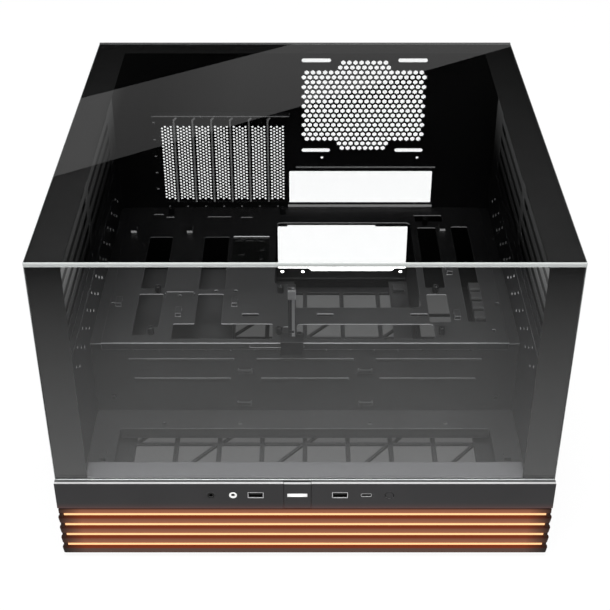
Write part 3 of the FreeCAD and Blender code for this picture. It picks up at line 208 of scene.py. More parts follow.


# Folded sheet steel: side frames, tray, walls and brackets inside the case. Cold-rolled steel with a
# fine-grained black powder coat; its cut and folded edges get a painted highlight, strongest where they face the
# front.
def group(name, inputs, outputs):
    """An empty node group with named inputs and outputs."""
    tree = bpy.data.node_groups.new(name, "ShaderNodeTree")
    for label, kind, value in inputs:
        socket = tree.interface.new_socket(label, in_out="INPUT", socket_type="NodeSocket" + kind)
        socket.default_value = value
    for label, kind in outputs:
        tree.interface.new_socket(label, in_out="OUTPUT", socket_type="NodeSocket" + kind)
    return tree, tree.nodes.new("NodeGroupInput"), tree.nodes.new("NodeGroupOutput")


def edge_mask_group():
    """Mask for a painted edge highlight: how far the rounded normal leans from the true one, more where it leans to
    the front.
    """
    tree, given, result = group("edge_mask", [("Radius", "Float", 0.0012), ("Gain", "Float", 5.0)],
                                [("Mask", "Float"), ("Normal", "Vector")])
    soft = add(tree, "Bevel", {"Radius": given.outputs["Radius"]}, samples=8)
    true = add(tree, "NewGeometry").outputs["True Normal"]
    turn = add(tree, "VectorMath", {0: soft.outputs[0], 1: true}, operation="DOT_PRODUCT").outputs["Value"]
    bent = calc(tree, "MULTIPLY", calc(tree, "SUBTRACT", 1.0, turn), given.outputs["Gain"], clamp=True)
    ahead = calc(tree, "MULTIPLY", add(tree, "SeparateXYZ", {0: soft.outputs[0]}).outputs["Y"], -1.6, clamp=True)
    share = calc(tree, "MULTIPLY_ADD", ahead, 0.85, 0.15)
    tree.links.new(calc(tree, "MULTIPLY", bent, share), result.inputs["Mask"])
    tree.links.new(soft.outputs[0], result.inputs["Normal"])
    return tree


edge_mask = edge_mask_group()


def powder_group():
    """Powder coat: fine orange-peel noise for bump, broad noise for tone, edges mixed to the colour of a painted
    highlight, broken up by noise.
    """
    tree, given, result = group(
        "powder_coat",
        [("Color", "Color", (0.02, 0.02, 0.02, 1)), ("Edge", "Color", (0.2, 0.2, 0.2, 1)),
         ("Edge Gain", "Float", 4.0), ("Roughness", "Float", 0.5), ("Grain", "Float", 1500.0),
         ("Peel", "Float", 0.25)],
        [("Color", "Color"), ("Roughness", "Float"), ("Normal", "Vector")])
    place = add(tree, "TexCoord").outputs["Object"]
    peel = add(tree, "TexNoise", {"Vector": place, "Scale": given.outputs["Grain"], "Detail": 2.0})
    broad = add(tree, "TexNoise", {"Vector": place, "Scale": 11.0, "Detail": 4.0})
    edge = tree.nodes.new("ShaderNodeGroup")
    edge.node_tree = edge_mask
    tree.links.new(given.outputs["Edge Gain"], edge.inputs["Gain"])
    # Painted edge highlight, broken up in patches by the broad noise.
    highlight_breakup = calc(tree, "MULTIPLY_ADD", broad.outputs[0], 0.6, 0.65)
    mask = calc(tree, "MULTIPLY", edge.outputs["Mask"], highlight_breakup, clamp=True)
    tone = spread(tree, broad.outputs[0], 0.3, 0.7, 0.82, 1.18)
    toned = add(tree, "VectorMath", {0: given.outputs["Color"]}, operation="SCALE")
    tree.links.new(tone, toned.inputs["Scale"])
    colour = add(tree, "Mix", {"Factor": mask, "A": toned.outputs[0], "B": given.outputs["Edge"]}, data_type="RGBA")
    wander = calc(tree, "MULTIPLY_ADD", broad.outputs[0], 0.16, -0.08)
    rough = calc(tree, "ADD", given.outputs["Roughness"], wander, clamp=True)
    bump = add(tree, "Bump", {"Strength": given.outputs["Peel"], "Distance": 0.00025, "Height": peel.outputs[0],
                              "Normal": edge.outputs["Normal"]})
    tree.links.new(colour.outputs[2], result.inputs["Color"])
    tree.links.new(rough, result.inputs["Roughness"])
    tree.links.new(bump.outputs[0], result.inputs["Normal"])
    return tree


powder_coat = powder_group()


def coated(name, colour, edge, edge_gain, roughness, grain=1500.0, peel=0.25, **fixed):
    """A coated or moulded opaque material that uses the powder-coat group; edge is the colour of its painted edge
    highlight.
    """
    material, tree, out = surface(name)
    coat = tree.nodes.new("ShaderNodeGroup")
    coat.node_tree = powder_coat
    for label, value in (("Color", (*colour, 1)), ("Edge", (*edge, 1)), ("Edge Gain", edge_gain),
                         ("Roughness", roughness), ("Grain", grain), ("Peel", peel)):
        coat.inputs[label].default_value = value
    shader = add(tree, "BsdfPrincipled", {label.replace("_", " "): value for label, value in fixed.items()})
    for label, socket in (("Color", "Base Color"), ("Roughness", "Roughness"), ("Normal", "Normal")):
        tree.links.new(coat.outputs[label], shader.inputs[socket])
    tree.links.new(shader.outputs[0], out.inputs[0])
    return material


def dress(material, *nodes):
    """Give carried-over CAD nodes a finished material."""
    for node in nodes:
        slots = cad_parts[node].data.materials
        slots.clear()
        slots.append(material)


inner_steel = coated("inner_steel", (0.028, 0.028, 0.029), (0.12, 0.12, 0.123), 4.0, 0.55, peel=0.02)
dress(inner_steel, "middle_wall", "front_fan_bracket", "power_supply_support_left",
      "power_supply_support_right", "drive_tray")


def shader_of(material):
    """A material's tree and its main shader."""
    tree = material.node_tree
    return tree, next(node for node in tree.nodes if node.type == "BSDF_PRINCIPLED")


def lit_faces(material, colour, test):
    """Give one set of a coated material's faces another tone, used for painted highlights and for painted shade;
    test returns their mask.
    """
    tree, shader = shader_of(material)
    coat = next(node for node in tree.nodes if node.type == "GROUP")
    mix = add(tree, "Mix", {"Factor": test(tree), "A": coat.outputs["Color"], "B": (*colour, 1)},
              data_type="RGBA")
    tree.links.new(mix.outputs[2], shader.inputs["Base Color"])
    return material


def looks(tree, axis, sign):
    """1 on faces that look along the axis, 0 elsewhere."""
    normal = add(tree, "SeparateXYZ", {0: add(tree, "NewGeometry").outputs["True Normal"]}).outputs[axis]
    return calc(tree, "GREATER_THAN", calc(tree, "MULTIPLY", normal, sign), 0.5)


def between(tree, axis, low, high):
    """1 where the coordinate lies between two levels."""
    return calc(tree, "COMPARE", along(tree, axis), (low + high) / 2, (high - low) / 2)


def upper_faces(tree):
    """Faces that look up."""
    return looks(tree, "Z", 1.0)


def front_faces(tree):
    """Faces that look to the front."""
    return looks(tree, "Y", -1.0)


TRAY_SHEET = (0.1139, 0.1151)
TRAY_LOOPS = (0.1165, 0.1195)
REAR_CUTS = (0.140, 0.150)
BOARD_WINDOW = (-0.080, -0.035)
BLIND_CUTS = (-0.180, -0.080)
WALL_LIT = (0.185, 0.304)
WALL_TOP = 0.3035
RIM_ROWS = (0.120, 0.152)


def cut_faces(tree):
    """Faces of the tray's openings that look to the front, within the sheet's thickness."""
    return calc(tree, "MULTIPLY", front_faces(tree), between(tree, "Z", *TRAY_SHEET))


def glowing(material, level):
    """Painted light: a glow standing in for daylight that a coated material takes in through openings; level
    returns its strength.
    """
    tree, shader = shader_of(material)
    shader.inputs["Emission Strength"].default_value = 1.0
    tree.links.new(grey(tree, level(tree)), shader.inputs["Emission Color"])
    return material


def ramp_along(tree, axis, start, end, first, last):
    """A value that goes from first to last as the coordinate goes from start to end."""
    return spread(tree, along(tree, axis), start, end, first, last)


def vent_light(tree):
    """Painted light from the side vents: strongest under the glass, dying away downwards and to the front."""
    height = calc(tree, "POWER", ramp_along(tree, "Z", *WALL_LIT, 0.0, 1.0), 1.6)
    return calc(tree, "MULTIPLY", height, ramp_along(tree, "Y", -0.20, -0.08, 0.10, 1.0))


def side_glow(tree):
    """Painted light from the vents on the upper wall and its top edge, and a painted highlight on the rims of the
    small holes.
    """
    top = calc(tree, "MULTIPLY", calc(tree, "GREATER_THAN", along(tree, "Z"), WALL_TOP), 1.2)
    wall = calc(tree, "MULTIPLY", vent_light(tree), calc(tree, "ADD", top, 0.7))
    facing = calc(tree, "ADD", looks(tree, "X", 1.0), looks(tree, "X", -1.0))
    rims = calc(tree, "MULTIPLY", calc(tree, "SUBTRACT", 1.0, facing), between(tree, "Z", *RIM_ROWS))
    rims = calc(tree, "MULTIPLY", rims, ramp_along(tree, "Y", -0.05, 0.08, 0.15, 0.7))
    return calc(tree, "ADD", wall, rims)


def edge_glow(tree):
    """Painted highlight glow on the rear edges of the tray's openings, the board window's most, and on the loops.
    """
    rear = ramp_along(tree, "Y", 0.06, 0.10, 0.0, 0.6)
    window = calc(tree, "MULTIPLY", between(tree, "Y", *REAR_CUTS), between(tree, "X", *BOARD_WINDOW))
    blind = calc(tree, "MULTIPLY", between(tree, "Y", *REAR_CUTS), between(tree, "X", *BLIND_CUTS))
    level = calc(tree, "ADD", rear, calc(tree, "MULTIPLY", window, 2.4))
    level = calc(tree, "MULTIPLY", level, calc(tree, "MULTIPLY_ADD", blind, -0.85, 1.0))
    loops = calc(tree, "MULTIPLY", front_faces(tree), between(tree, "Z", *TRAY_LOOPS))
    loops = calc(tree, "MULTIPLY", loops, ramp_along(tree, "Y", 0.10, 0.14, 0.0, 1.2))
    return calc(tree, "ADD", calc(tree, "MULTIPLY", cut_faces(tree), level), loops)


def guard_glow(tree):
    """Painted daylight glow on the front of the strip above the slot covers."""
    return calc(tree, "MULTIPLY", front_faces(tree), 0.45)


# Side frames: a painted glow for the vents' light on the upper wall and on the hole rims.
side_steel = coated("side_steel", (0.030, 0.030, 0.032), (0.30, 0.30, 0.31), 6.0, 0.38, peel=0.05)
dress(glowing(side_steel, side_glow), "left_side_frame", "right_side_frame")
# Tray: its front-facing cut faces get a painted highlight, a lighter tone and a glow.
tray_steel = coated("tray_steel", (0.028, 0.028, 0.029), (0.30, 0.30, 0.31), 8.0, 0.40, peel=0.05)
dress(glowing(lit_faces(tray_steel, (0.34, 0.34, 0.35), cut_faces), edge_glow), "motherboard_tray")
# Front frame: its upward faces get a painted highlight, a lighter tone where the overhead light falls.
ledge_steel = coated("ledge_steel", (0.026, 0.026, 0.027), (0.30, 0.30, 0.31), 8.0, 0.55, peel=0.02)
dress(lit_faces(ledge_steel, (0.095, 0.095, 0.10), upper_faces), "front_frame")
# Guard strip: its front faces get a painted highlight, a lighter tone and a glow.
guard_steel = coated("guard_steel", (0.026, 0.026, 0.027), (0.30, 0.30, 0.31), 8.0, 0.40, peel=0.08)
dress(glowing(lit_faces(guard_steel, (0.28, 0.28, 0.285), front_faces), guard_glow), "slot_guard_strip")

# Outer sheet steel: side panels, rear panel, slot covers and the base. The same steel with a satin
# black coat. The panels hook on to the frames and are held by thumbscrews.
outer_steel = coated("outer_steel", (0.024, 0.024, 0.026), (0.09, 0.09, 0.095), 3.0, 0.42)
dress(outer_steel, "left_side_panel", "right_side_panel", "bottom_panel")
cover_steel = coated("cover_steel", (0.008, 0.008, 0.0085), (0.03, 0.03, 0.032), 2.0, 0.5, peel=0.1)
dress(cover_steel, *["slot_cover_%d" % k for k in range(1, 8)])


REAR_SHEET = 0.2092
REAR_SILL = 0.1155


def raised_inside(tree):
    """The rods, beads and dimples on the inside of the rear wall, above the sill."""
    inside = calc(tree, "LESS_THAN", along(tree, "Y"), REAR_SHEET)
    return calc(tree, "MULTIPLY", inside, calc(tree, "GREATER_THAN", along(tree, "Z"), REAR_SILL))


def rear_glow(tree):
    """Painted daylight glow on the raised shapes of the rear wall."""
    return calc(tree, "MULTIPLY", raised_inside(tree), 0.50)


# Rear panel: the raised shapes inside get a painted highlight, a lighter tone and a glow.
rear_steel = coated("rear_steel", (0.009, 0.009, 0.0095), (0.04, 0.04, 0.042), 2.0, 0.5, peel=0.1)
dress(glowing(lit_faces(rear_steel, (0.30, 0.30, 0.305), raised_inside), rear_glow), "rear_panel")


# Toughened glass: two clear panes with ground edges, a black border printed on the inside, held by
# studs that push into sockets. The panes let the lamps through, dimmed.
def clear_glass(name, tint, through):
    """Glass with the tint at each face; lamps shine through it at the given level."""
    material, tree, out = surface(name)
    pane = add(tree, "BsdfPrincipled", {"Base Color": (*tint, 1), "Roughness": 0.0,
                                        "Transmission Weight": 1.0, "IOR": 1.5})
    lets = add(tree, "BsdfTransparent", {"Color": (through, through, through, 1)})
    path = add(tree, "LightPath").outputs
    mix = add(tree, "MixShader", {0: path["Is Shadow Ray"], 1: pane.outputs[0], 2: lets.outputs[0]})
    tree.links.new(mix.outputs[0], out.inputs[0])
    return material


dress(clear_glass("top_smoked", (0.18, 0.182, 0.182), 0.68), "top_glass")
dress(clear_glass("front_clear", (0.97, 0.98, 0.975), 0.85), "front_glass")


def print_ink(name, rear_tone, front_tone, coat_ior):
    """Baked black ink, a little dusty, with a painted reflection that makes it paler towards the front; the glass
    over it shines.
    """
    material, tree, out = surface(name)
    place = add(tree, "TexCoord").outputs["Object"]
    dust = add(tree, "TexNoise", {"Vector": place, "Scale": 60.0, "Detail": 3.0})
    speck = spread(tree, dust.outputs[0], 0.0, 1.0, 0.8, 1.2)
    # Dust specks times a painted reflection that grows paler towards the front.
    ink_and_reflection = calc(tree, "MULTIPLY", speck, ramp_along(tree, "Y", 0.217, -0.215, rear_tone, front_tone))
    shader = add(tree, "BsdfPrincipled", {"Roughness": 0.6, "Specular IOR Level": 0.15, "Coat Weight": 1.0,
                                          "Coat Roughness": 0.0, "Coat IOR": coat_ior})
    tree.links.new(grey(tree, ink_and_reflection), shader.inputs["Base Color"])
    tree.links.new(shader.outputs[0], out.inputs[0])
    return material


def frame_sheet(name, outer, inner, near, far, lying):
    """A flat closed ring between two rectangles (left, right, low, high), from near to far in depth."""
    def corners(r):
        return [(r[0], r[2]), (r[1], r[2]), (r[1], r[3]), (r[0], r[3])]
    flat = np.array(corners(outer) + corners(inner))
    layers = [np.column_stack([flat, np.full(8, depth)]) for depth in (near, far)]
    points = np.vstack(layers)
    if not lying:
        points = points[:, [0, 2, 1]]
    faces = []
    for k in range(4):
        n = (k + 1) % 4
        faces += [(k, k + 4, n + 4, n), (k + 8, n + 8, n + 12, k + 12),
                  (k, n, n + 8, k + 8), (k + 4, k + 12, n + 12, n + 4)]
    if not lying:
        faces = [f[::-1] for f in faces]
    return mesh_object(name, points, faces)


low, high = (np.array(v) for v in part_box("top_glass"))
PRINT_EDGE = 0.001
PRINT_LAYER = (0.00006, 0.00016)
PRINT_SIDE = 0.0295
PRINT_REAR = 0.0245
border = frame_sheet(
    "top_glass_print",
    (low[0] + PRINT_EDGE, high[0] - PRINT_EDGE, low[1] + PRINT_EDGE, high[1] - PRINT_EDGE),
    (low[0] + PRINT_SIDE, high[0] - PRINT_SIDE, low[1] + 0.0016, high[1] - PRINT_REAR),
    low[2] + PRINT_LAYER[0], low[2] + PRINT_LAYER[1], True)
border.data.materials.append(print_ink("top_ink", 0.007, 0.040, 1.6))
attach(border, "top_cover")
low, high = (np.array(v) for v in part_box("front_glass"))
PRINT_FRONT_SIDE = 0.028
border = frame_sheet(
    "front_glass_print",
    (low[0] + PRINT_EDGE, high[0] - PRINT_EDGE, low[2] + PRINT_EDGE, high[2] - PRINT_EDGE),
    (low[0] + PRINT_FRONT_SIDE, high[0] - PRINT_FRONT_SIDE, low[2] + 0.0014, high[2] - 0.0014),
    high[1] - PRINT_LAYER[1], high[1] - PRINT_LAYER[0], False)
border.data.materials.append(print_ink("front_ink", 0.004, 0.004, 1.75))
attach(border, "case")

ground_edge, tree, out = surface("ground_edge")
place = add(tree, "TexCoord").outputs["Object"]
frost = add(tree, "TexNoise", {"Vector": place, "Scale": 900.0, "Detail": 2.0})
shader = add(tree, "BsdfPrincipled", {"Base Color": (0.38, 0.395, 0.39, 1), "Roughness": 0.35})
bump = add(tree, "Bump", {"Strength": 0.3, "Distance": 0.0001, "Height": frost.outputs[0]})
tree.links.new(bump.outputs[0], shader.inputs["Normal"])
tree.links.new(shader.outputs[0], out.inputs[0])


def edge_band(name, node, lying):
    """The frosted skin of a pane's ground edge: a thin closed profile carried round the rectangle."""
    low, high = (np.array(v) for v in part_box(node))
    axes = [0, 1, 2] if lying else [0, 2, 1]
    low, high = low[axes], high[axes]
    chamfer, skin = 0.0005, 0.00006
    deep = high[2] - low[2]
    outward = [(-chamfer, deep + skin), (skin, deep - chamfer), (skin, chamfer), (-chamfer, -skin)]
    inward = [(-chamfer, 0.0), (0.0, chamfer), (0.0, deep - chamfer), (-chamfer, deep)]
    profile = np.array(outward + inward)
    signs = np.array([(-1, -1), (1, -1), (1, 1), (-1, 1)])
    rings = []
    for a, b in signs:
        x = (high[0] if a > 0 else low[0]) + a * profile[:, 0]
        y = (high[1] if b > 0 else low[1]) + b * profile[:, 0]
        rings.append(np.column_stack([x, y, low[2] + profile[:, 1]]))
    points = np.vstack(rings)
    count = len(profile)
    faces = []
    for k in range(4):
        for i in range(count):
            j = (i + 1) % count
            n = (k + 1) % 4
            faces.append((k * count + i, k * count + j, n * count + j, n * count + i))
    if not lying:
        points = points[:, [0, 2, 1]]
        faces = [f[::-1] for f in faces]
    item = mesh_object(name, points, faces)
    item.data.materials.append(ground_edge)
    return item


band = edge_band("top_glass_edge", "top_glass", True)
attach(band, "top_cover")
band = edge_band("front_glass_edge", "front_glass", False)
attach(band, "case")

# Moulded pieces: filter frames, sockets, switches and the card support. Black injection-moulded
# plastic with a light spark-eroded grain.
moulded = coated("moulded_black", (0.022, 0.022, 0.023), (0.10, 0.10, 0.10), 2.5, 0.55, grain=2600.0, peel=0.35)
dress(moulded, "left_filter_frame", "right_filter_frame", "bottom_filter_frame", "front_glass_sockets",
      "top_glass_sockets", "button_switches")
clamp_black = coated("clamp_black", (0.010, 0.010, 0.011), (0.06, 0.06, 0.06), 2.0, 0.5, grain=2600.0)
dress(clamp_black, "card_support_clamp")
support_head = coated("support_head", (0.13, 0.13, 0.133), (0.30, 0.30, 0.31), 2.0, 0.5, grain=2600.0)
dress(support_head, "card_support_head")


def post_rail(tree):
    """The bright guide rail on the right half of the support post's front."""
    low, high = (np.array(v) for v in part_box("card_support_post"))
    half = (low[0] + high[0]) / 2
    return calc(tree, "MULTIPLY", front_faces(tree), between(tree, "X", half - 0.0002, high[0] - 0.001))


post_black = coated("post_black", (0.015, 0.015, 0.016), (0.10, 0.10, 0.10), 2.5, 0.5, grain=2600.0)
dress(lit_faces(post_black, (0.20, 0.20, 0.205), post_rail), "card_support_post")

# Fasteners: black zinc screws and standoffs, bare steel studs on the glass.
black_zinc = coated("black_zinc", (0.05, 0.05, 0.052), (0.22, 0.22, 0.22), 3.0, 0.34, Metallic=0.8)
dress(black_zinc, "bracket_screws", "card_support_screw", "standoffs")


def turned(name, centres, profile, upright=False, steps=96):
    """Turned pieces, one at each centre, their axis along Y or upright.

    Each row of the profile is (offset, radius, lobes, depth) and gives the ring
    r(a) = radius * (1 - depth * (1 + cos(lobes * a)) / 2) at that offset along the axis.
    """
    angle = np.arange(steps) * 2 * math.pi / steps
    points, faces = [], []
    for centre in centres:
        first = len(points) * steps
        for offset, radius, lobes, depth in profile:
            reach = radius * (1 - depth * (1 + np.cos(lobes * angle)) / 2)
            across, up = reach * np.cos(angle), reach * np.sin(angle)
            level = np.full(steps, offset)
            ring = (across, up, level) if upright else (across, level, up)
            points.append(np.column_stack(ring) + centre)
        count = len(profile)
        quads = []
        for i in range(count - 1):
            for k in range(steps):
                a, b = first + i * steps, first + (i + 1) * steps
                n = (k + 1) % steps
                quads.append((a + k, b + k, b + n, a + n))
        quads.append(tuple(range(first, first + steps)))
        quads.append(tuple(range(first + count * steps - 1, first + (count - 1) * steps - 1, -1)))
        faces += [q[::-1] for q in quads] if upright else quads
    return mesh_object(name, np.vstack(points), faces)


# Thumbscrews: a short shank and a knurled head with a dished end. 32 flutes run along the head.
low, high = (np.array(v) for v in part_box("rear_thumbscrews"))
SEAT = 0.2107
HEAD = 0.003
shank_foot = low[1] - SEAT
places = [(x, SEAT, z) for x in (low[0] + HEAD, high[0] - HEAD) for z in (low[2] + HEAD, high[2] - HEAD)]
knobs = turned("knurled_thumbscrews", places, [
    (shank_foot, 0.0011, 1, 0), (shank_foot + 0.0004, 0.0015, 1, 0), (0.0, 0.0015, 1, 0), (0.0, 0.0027, 1, 0),
    (0.0006, 0.0027, 1, 0), (0.0009, HEAD, 1, 0), (0.0011, HEAD, 32, 0.10), (0.0051, HEAD, 32, 0.10),
    (0.0053, HEAD, 1, 0), (0.006, 0.0026, 1, 0), (0.006, 0.0018, 1, 0), (0.0055, 0.0014, 1, 0)])
knobs.data.materials.append(black_zinc)
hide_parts("rear_thumbscrews")
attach(knobs, "case")

# Slot screws: a hexagonal head on a washer flange, with a cross recess shown as a four-lobed pit.
low, high = (np.array(v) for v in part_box("slot_screws"))
FLANGE = 0.0032
seat = high[1] - 0.0022
foot = low[1] - seat
places = [(x, seat, (low[2] + high[2]) / 2) for x in np.linspace(low[0] + FLANGE, high[0] - FLANGE, 7)]
screws = turned("hex_washer_screws", places, [
    (foot, 0.0010, 1, 0), (foot + 0.0006, 0.0015, 1, 0), (0.0, 0.0015, 1, 0), (0.0, FLANGE, 1, 0),
    (0.0004, FLANGE, 1, 0), (0.0006, 0.0029, 1, 0), (0.0007, 0.0027, 6, 0.12), (0.0020, 0.0027, 6, 0.12),
    (0.0022, 0.0024, 6, 0.06), (0.0022, 0.0015, 4, 0.55), (0.0012, 0.0009, 4, 0.55)])
screws.data.materials.append(black_zinc)
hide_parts("slot_screws")
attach(screws, "case")
bare_steel = coated("bare_steel", (0.42, 0.42, 0.43), (0.6, 0.6, 0.6), 2.0, 0.3, Metallic=1.0)
dress(bare_steel, "front_glass_studs", "top_glass_studs")

# Soft pieces: cable grips, power supply pads and feet. Moulded rubber.
rubber = coated("soft_rubber", (0.035, 0.035, 0.036), (0.10, 0.10, 0.10), 2.0, 0.7, grain=1800.0, peel=0.5)
dress(rubber, "cable_grips", "power_supply_pads")

# Feet: round moulded pads with a chamfered tread, two grip rings and a dished middle.
low, high = (np.array(v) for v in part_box("feet"))
PAD = 0.014
places = [(x, y, 0.0) for x in (low[0] + PAD, high[0] - PAD) for y in (low[1] + PAD, high[1] - PAD)]
feet = turned("ringed_feet", places, [
    (0.0012, 0.0035, 1, 0), (0.0, 0.0040, 1, 0), (0.0, 0.0072, 1, 0), (0.0007, 0.0076, 1, 0),
    (0.0007, 0.0084, 1, 0), (0.0, 0.0088, 1, 0), (0.0, 0.0108, 1, 0), (0.0007, 0.0111, 1, 0),
    (0.0007, 0.0117, 1, 0), (0.0, 0.0120, 1, 0), (0.0, 0.0130, 1, 0), (0.001, PAD, 1, 0),
    (high[2], PAD, 1, 0)], upright=True)
feet.data.materials.append(rubber)
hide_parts("feet")
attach(feet, "case")


# Control strip: one satin moulding across the front, under the glass, with the sockets and buttons
# in it. It is clipped to the front frame by lugs. The board behind it carries the sockets. Its top
# edge is a bevel with a painted highlight, and its lower edge has a painted warm glow from the louvre's light.
BEVEL_DEPTH = (-0.2186, -0.2161)
GLOW_HEIGHT = (0.0595, 0.068)
SOCKET_RIM = -0.2186


def strip_bevel(tree):
    """The bevel along the top of the strip, which gets a painted highlight."""
    return calc(tree, "MULTIPLY", upper_faces(tree), between(tree, "Y", *BEVEL_DEPTH))


def satin(name, roughness):
    """The strip's satin black, with a painted highlight on the bevel and a painted warm glow from the louvre's
    light that dies away upwards.
    """
    plain = coated(name, (0.019, 0.0185, 0.0195), (0.10, 0.10, 0.10), 0.0, roughness, grain=3200.0,
                   peel=0.15, Specular_IOR_Level=0.3)
    material = lit_faces(plain, (0.36, 0.36, 0.36), strip_bevel)
    tree, shader = shader_of(material)
    rise = ramp_along(tree, "Z", *GLOW_HEIGHT, 1.0, 0.0)
    glow = calc(tree, "MULTIPLY", calc(tree, "POWER", rise, 2.2), 0.06)
    warm = add(tree, "VectorMath", {0: (1.0, 0.32, 0.26)}, operation="SCALE")
    tree.links.new(glow, warm.inputs["Scale"])
    tree.links.new(warm.outputs[0], shader.inputs["Emission Color"])
    shader.inputs["Emission Strength"].default_value = 1.0
    return material


dress(satin("strip_satin", 0.5), "control_strip")
dress(satin("button_satin", 0.5), "power_button", "round_button")
jack = coated("jack_black", (0.002, 0.002, 0.002), (0.10, 0.10, 0.10), 4.0, 0.5, peel=0.05,
              Specular_IOR_Level=0.04)
dress(jack, "microphone_jack", "headset_jack")
white_ring = coated("ring_white", (0.78, 0.78, 0.77), (0.85, 0.85, 0.85), 1.0, 0.3, peel=0.05)
dress(white_ring, "headset_ring")


def socket_shade(tree):
    """All of a USB socket except the rim that faces the plug; this part gets painted shade."""
    return calc(tree, "GREATER_THAN", along(tree, "Y"), SOCKET_RIM)


# USB sockets: a bright steel rim, with painted shade making the rest near-black.
port_steel = coated("port_steel", (0.50, 0.50, 0.51), (0.6, 0.6, 0.6), 1.0, 0.35, peel=0.05)
dress(lit_faces(port_steel, (0.006, 0.006, 0.006), socket_shade), "usb_socket_left", "usb_socket_right",
      "usb_c_socket")
circuit = coated("circuit_black", (0.012, 0.013, 0.012), (0.30, 0.30, 0.30), 3.0, 0.35, grain=700.0,
                 peel=0.4)
dress(circuit, "control_board", "hub_board")


# Dust filters: fine black nylon mesh, stretched over the bottom lattice and inside each side frame.
# The bottom mesh glows with painted light from the floor below, and the side ones with painted light from the
# vents.
def floor_light(tree):
    """Painted light glowing on the bottom mesh, a little less towards the front."""
    return ramp_along(tree, "Y", -0.20, -0.10, 0.04, 0.07)


mesh_net = coated("filter_net", (0.03, 0.03, 0.031), (0.03, 0.03, 0.03), 0.0, 0.7, grain=1200.0, peel=0.3)
dress(glowing(mesh_net, floor_light), "bottom_filter_mesh")

net, tree, out = surface("side_net")
place = add(tree, "TexCoord").outputs["Object"]
cells = add(tree, "TexVoronoi", {"Vector": place, "Scale": 620.0})
hole = calc(tree, "LESS_THAN", cells.outputs["Distance"], 0.30)
shader = add(tree, "BsdfPrincipled", {"Base Color": (0.018, 0.018, 0.018, 1), "Roughness": 0.7,
                                      "Emission Strength": 1.0})
# Painted light from the vents, glowing on the side mesh.
vent_glow = calc(tree, "MULTIPLY", vent_light(tree), 0.32)
tree.links.new(grey(tree, vent_glow), shader.inputs["Emission Color"])
tree.links.new(calc(tree, "MULTIPLY_ADD", hole, -0.12, 0.985), shader.inputs["Alpha"])
bump = add(tree, "Bump", {"Strength": 0.6, "Distance": 0.0003, "Height": cells.outputs["Distance"]})
tree.links.new(bump.outputs[0], shader.inputs["Normal"])
tree.links.new(shader.outputs[0], out.inputs[0])
for side in ("left", "right"):
    low, high = (np.array(v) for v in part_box(side + "_filter_frame"))
    middle, rim = (low[0] + high[0]) / 2, 0.004
    x = np.array([middle - 0.00015, middle + 0.00015])
    corner = np.array([[low[1] + rim, low[2] + rim], [high[1] - rim, low[2] + rim],
                       [high[1] - rim, high[2] - rim], [low[1] + rim, high[2] - rim]])
    points = np.vstack([np.column_stack([np.full(4, v), corner]) for v in x])
    faces = [(3, 2, 1, 0), (4, 5, 6, 7)]
    faces += [(k, (k + 1) % 4, (k + 1) % 4 + 4, k + 4) for k in range(4)]
    sheet = mesh_object(side + "_filter_mesh", points, faces)
    sheet.data.materials.append(net)
    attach(sheet, "case")

# Light bar of the power button: a milky acrylic strip, lit from behind by one small lamp.
button_glow, tree, out = surface("button_glow")
middle = sum(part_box("power_button_light")[k][0] for k in (0, 1)) / 2
reach = calc(tree, "ABSOLUTE", calc(tree, "SUBTRACT", along(tree, "X"), middle))
level = spread(tree, reach, 0.004, 0.009, 0.8, 0.45)
shader = add(tree, "BsdfPrincipled", {"Base Color": (0.3, 0.3, 0.3, 1), "Roughness": 0.3,
                                      "Emission Strength": 1.0})
tree.links.new(grey(tree, level), shader.inputs["Emission Color"])
tree.links.new(shader.outputs[0], out.inputs[0])
dress(button_glow, "power_button_light")


# Louvre: one black moulding of four slats. Behind each slat's front edge lies an amber light bar,
# which shows as a bright line; its warm light on the slats and the grooves is painted on them as a glow.
def ramp(tree, factor, stops):
    """A colour ramp through (position, colour) stops."""
    node = add(tree, "ValToRGB", {0: factor})
    marks = node.color_ramp.elements
    while len(marks) < len(stops):
        marks.new(0.5)
    for mark, (position, colour) in zip(marks, stops):
        mark.position = position
        mark.color = (*colour, 1)
    return node.outputs[0]


def mixed(tree, share, first, second):
    """One colour mixed with another by the share."""
    return add(tree, "Mix", {"Factor": share, "A": first, "B": second}, data_type="RGBA").outputs[2]


# Colours of the light bars' painted light on the slat faces, the lowest slat, the grooves and the top faces.
SLAT_GLOW_COLOURS = [(0.0, (0.215, 0.070, 0.034)), (0.15, (0.215, 0.078, 0.038)), (0.30, (0.275, 0.100, 0.056)),
                (0.46, (0.320, 0.115, 0.060)), (0.50, (0.10, 0.03, 0.02)), (1.0, (0.20, 0.07, 0.03))]
LIGHT_COLOURS = [(0.0, (1.0, 0.50, 0.22)), (0.35, (1.0, 0.66, 0.36)),
                 (0.7, (1.0, 0.56, 0.27)), (1.0, (0.62, 0.22, 0.08))]
LOWEST_SLAT_GLOW = (0.085, 0.045, 0.034, 1)
GROOVE_GLOW = (0.165, 0.020, 0.004, 1)
TOP_FACE_GLOW = (0.06, 0.022, 0.016, 1)
low, high = (np.array(v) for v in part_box("louvre_panel"))
SLAT_PITCH = 0.01205
SLAT_FACE = 0.0059
LIGHT_END = 0.212
FIRST_NOSE = low[2] + SLAT_FACE + 3 * SLAT_PITCH
# The slats' colour is painted light: an emission in these warm colours over a near-black base.
louvre, tree, out = surface("louvre_lit")
drop = calc(tree, "DIVIDE", calc(tree, "SUBTRACT", FIRST_NOSE, along(tree, "Z")), SLAT_PITCH)
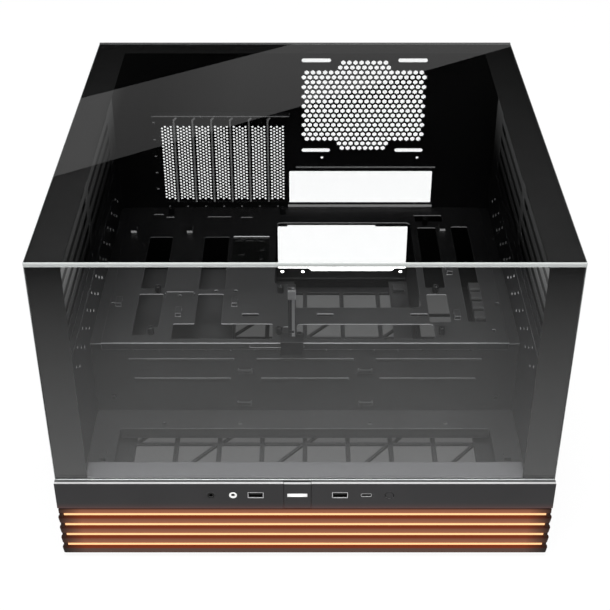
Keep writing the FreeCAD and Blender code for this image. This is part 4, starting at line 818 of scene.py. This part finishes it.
phase = calc(tree, "FRACT", calc(tree, "ADD", drop, 4.0))
face = ramp(tree, phase, SLAT_GLOW_COLOURS)
lowest = calc(tree, "GREATER_THAN", drop, 2.99)
face = mixed(tree, lowest, face, LOWEST_SLAT_GLOW)
warm = mixed(tree, front_faces(tree), GROOVE_GLOW, face)
above = calc(tree, "MULTIPLY", upper_faces(tree), calc(tree, "LESS_THAN", drop, -0.5))
warm = mixed(tree, above, warm, TOP_FACE_GLOW)
reach = calc(tree, "ABSOLUTE", along(tree, "X"))
lit_end = add(tree, "VectorMath", {0: warm}, operation="SCALE")
tree.links.new(spread(tree, reach, LIGHT_END - 0.016, LIGHT_END + 0.002, 1.0, 0.12), lit_end.inputs["Scale"])
grain = add(tree, "TexNoise", {"Vector": add(tree, "TexCoord").outputs["Object"], "Scale": 2600.0})
bump = add(tree, "Bump", {"Strength": 0.3, "Distance": 0.0002, "Height": grain.outputs[0]})
shader = add(tree, "BsdfPrincipled", {"Base Color": (0.008, 0.007, 0.006, 1), "Roughness": 0.6,
                                      "Specular IOR Level": 0.12, "Emission Strength": 1.0})
tree.links.new(lit_end.outputs[0], shader.inputs["Emission Color"])
tree.links.new(bump.outputs[0], shader.inputs["Normal"])
tree.links.new(shader.outputs[0], out.inputs[0])
dress(louvre, "louvre_panel")

amber, tree, out = surface("amber_light")
low, high = (np.array(v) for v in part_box("light_bar_1"))
height = calc(tree, "DIVIDE", calc(tree, "SUBTRACT", along(tree, "Z"), low[2]), SLAT_PITCH)
height = calc(tree, "FRACT", calc(tree, "ADD", height, 8.0001))
tall = (high[2] - low[2]) / SLAT_PITCH
colour = ramp(tree, calc(tree, "DIVIDE", height, tall), LIGHT_COLOURS)
shader = add(tree, "BsdfPrincipled", {"Base Color": (0.5, 0.25, 0.1, 1), "Roughness": 0.4,
                                      "Emission Strength": 1.0})
tree.links.new(colour, shader.inputs["Emission Color"])
tree.links.new(shader.outputs[0], out.inputs[0])
dress(amber, "light_bar_1", "light_bar_2", "light_bar_3", "light_bar_4")
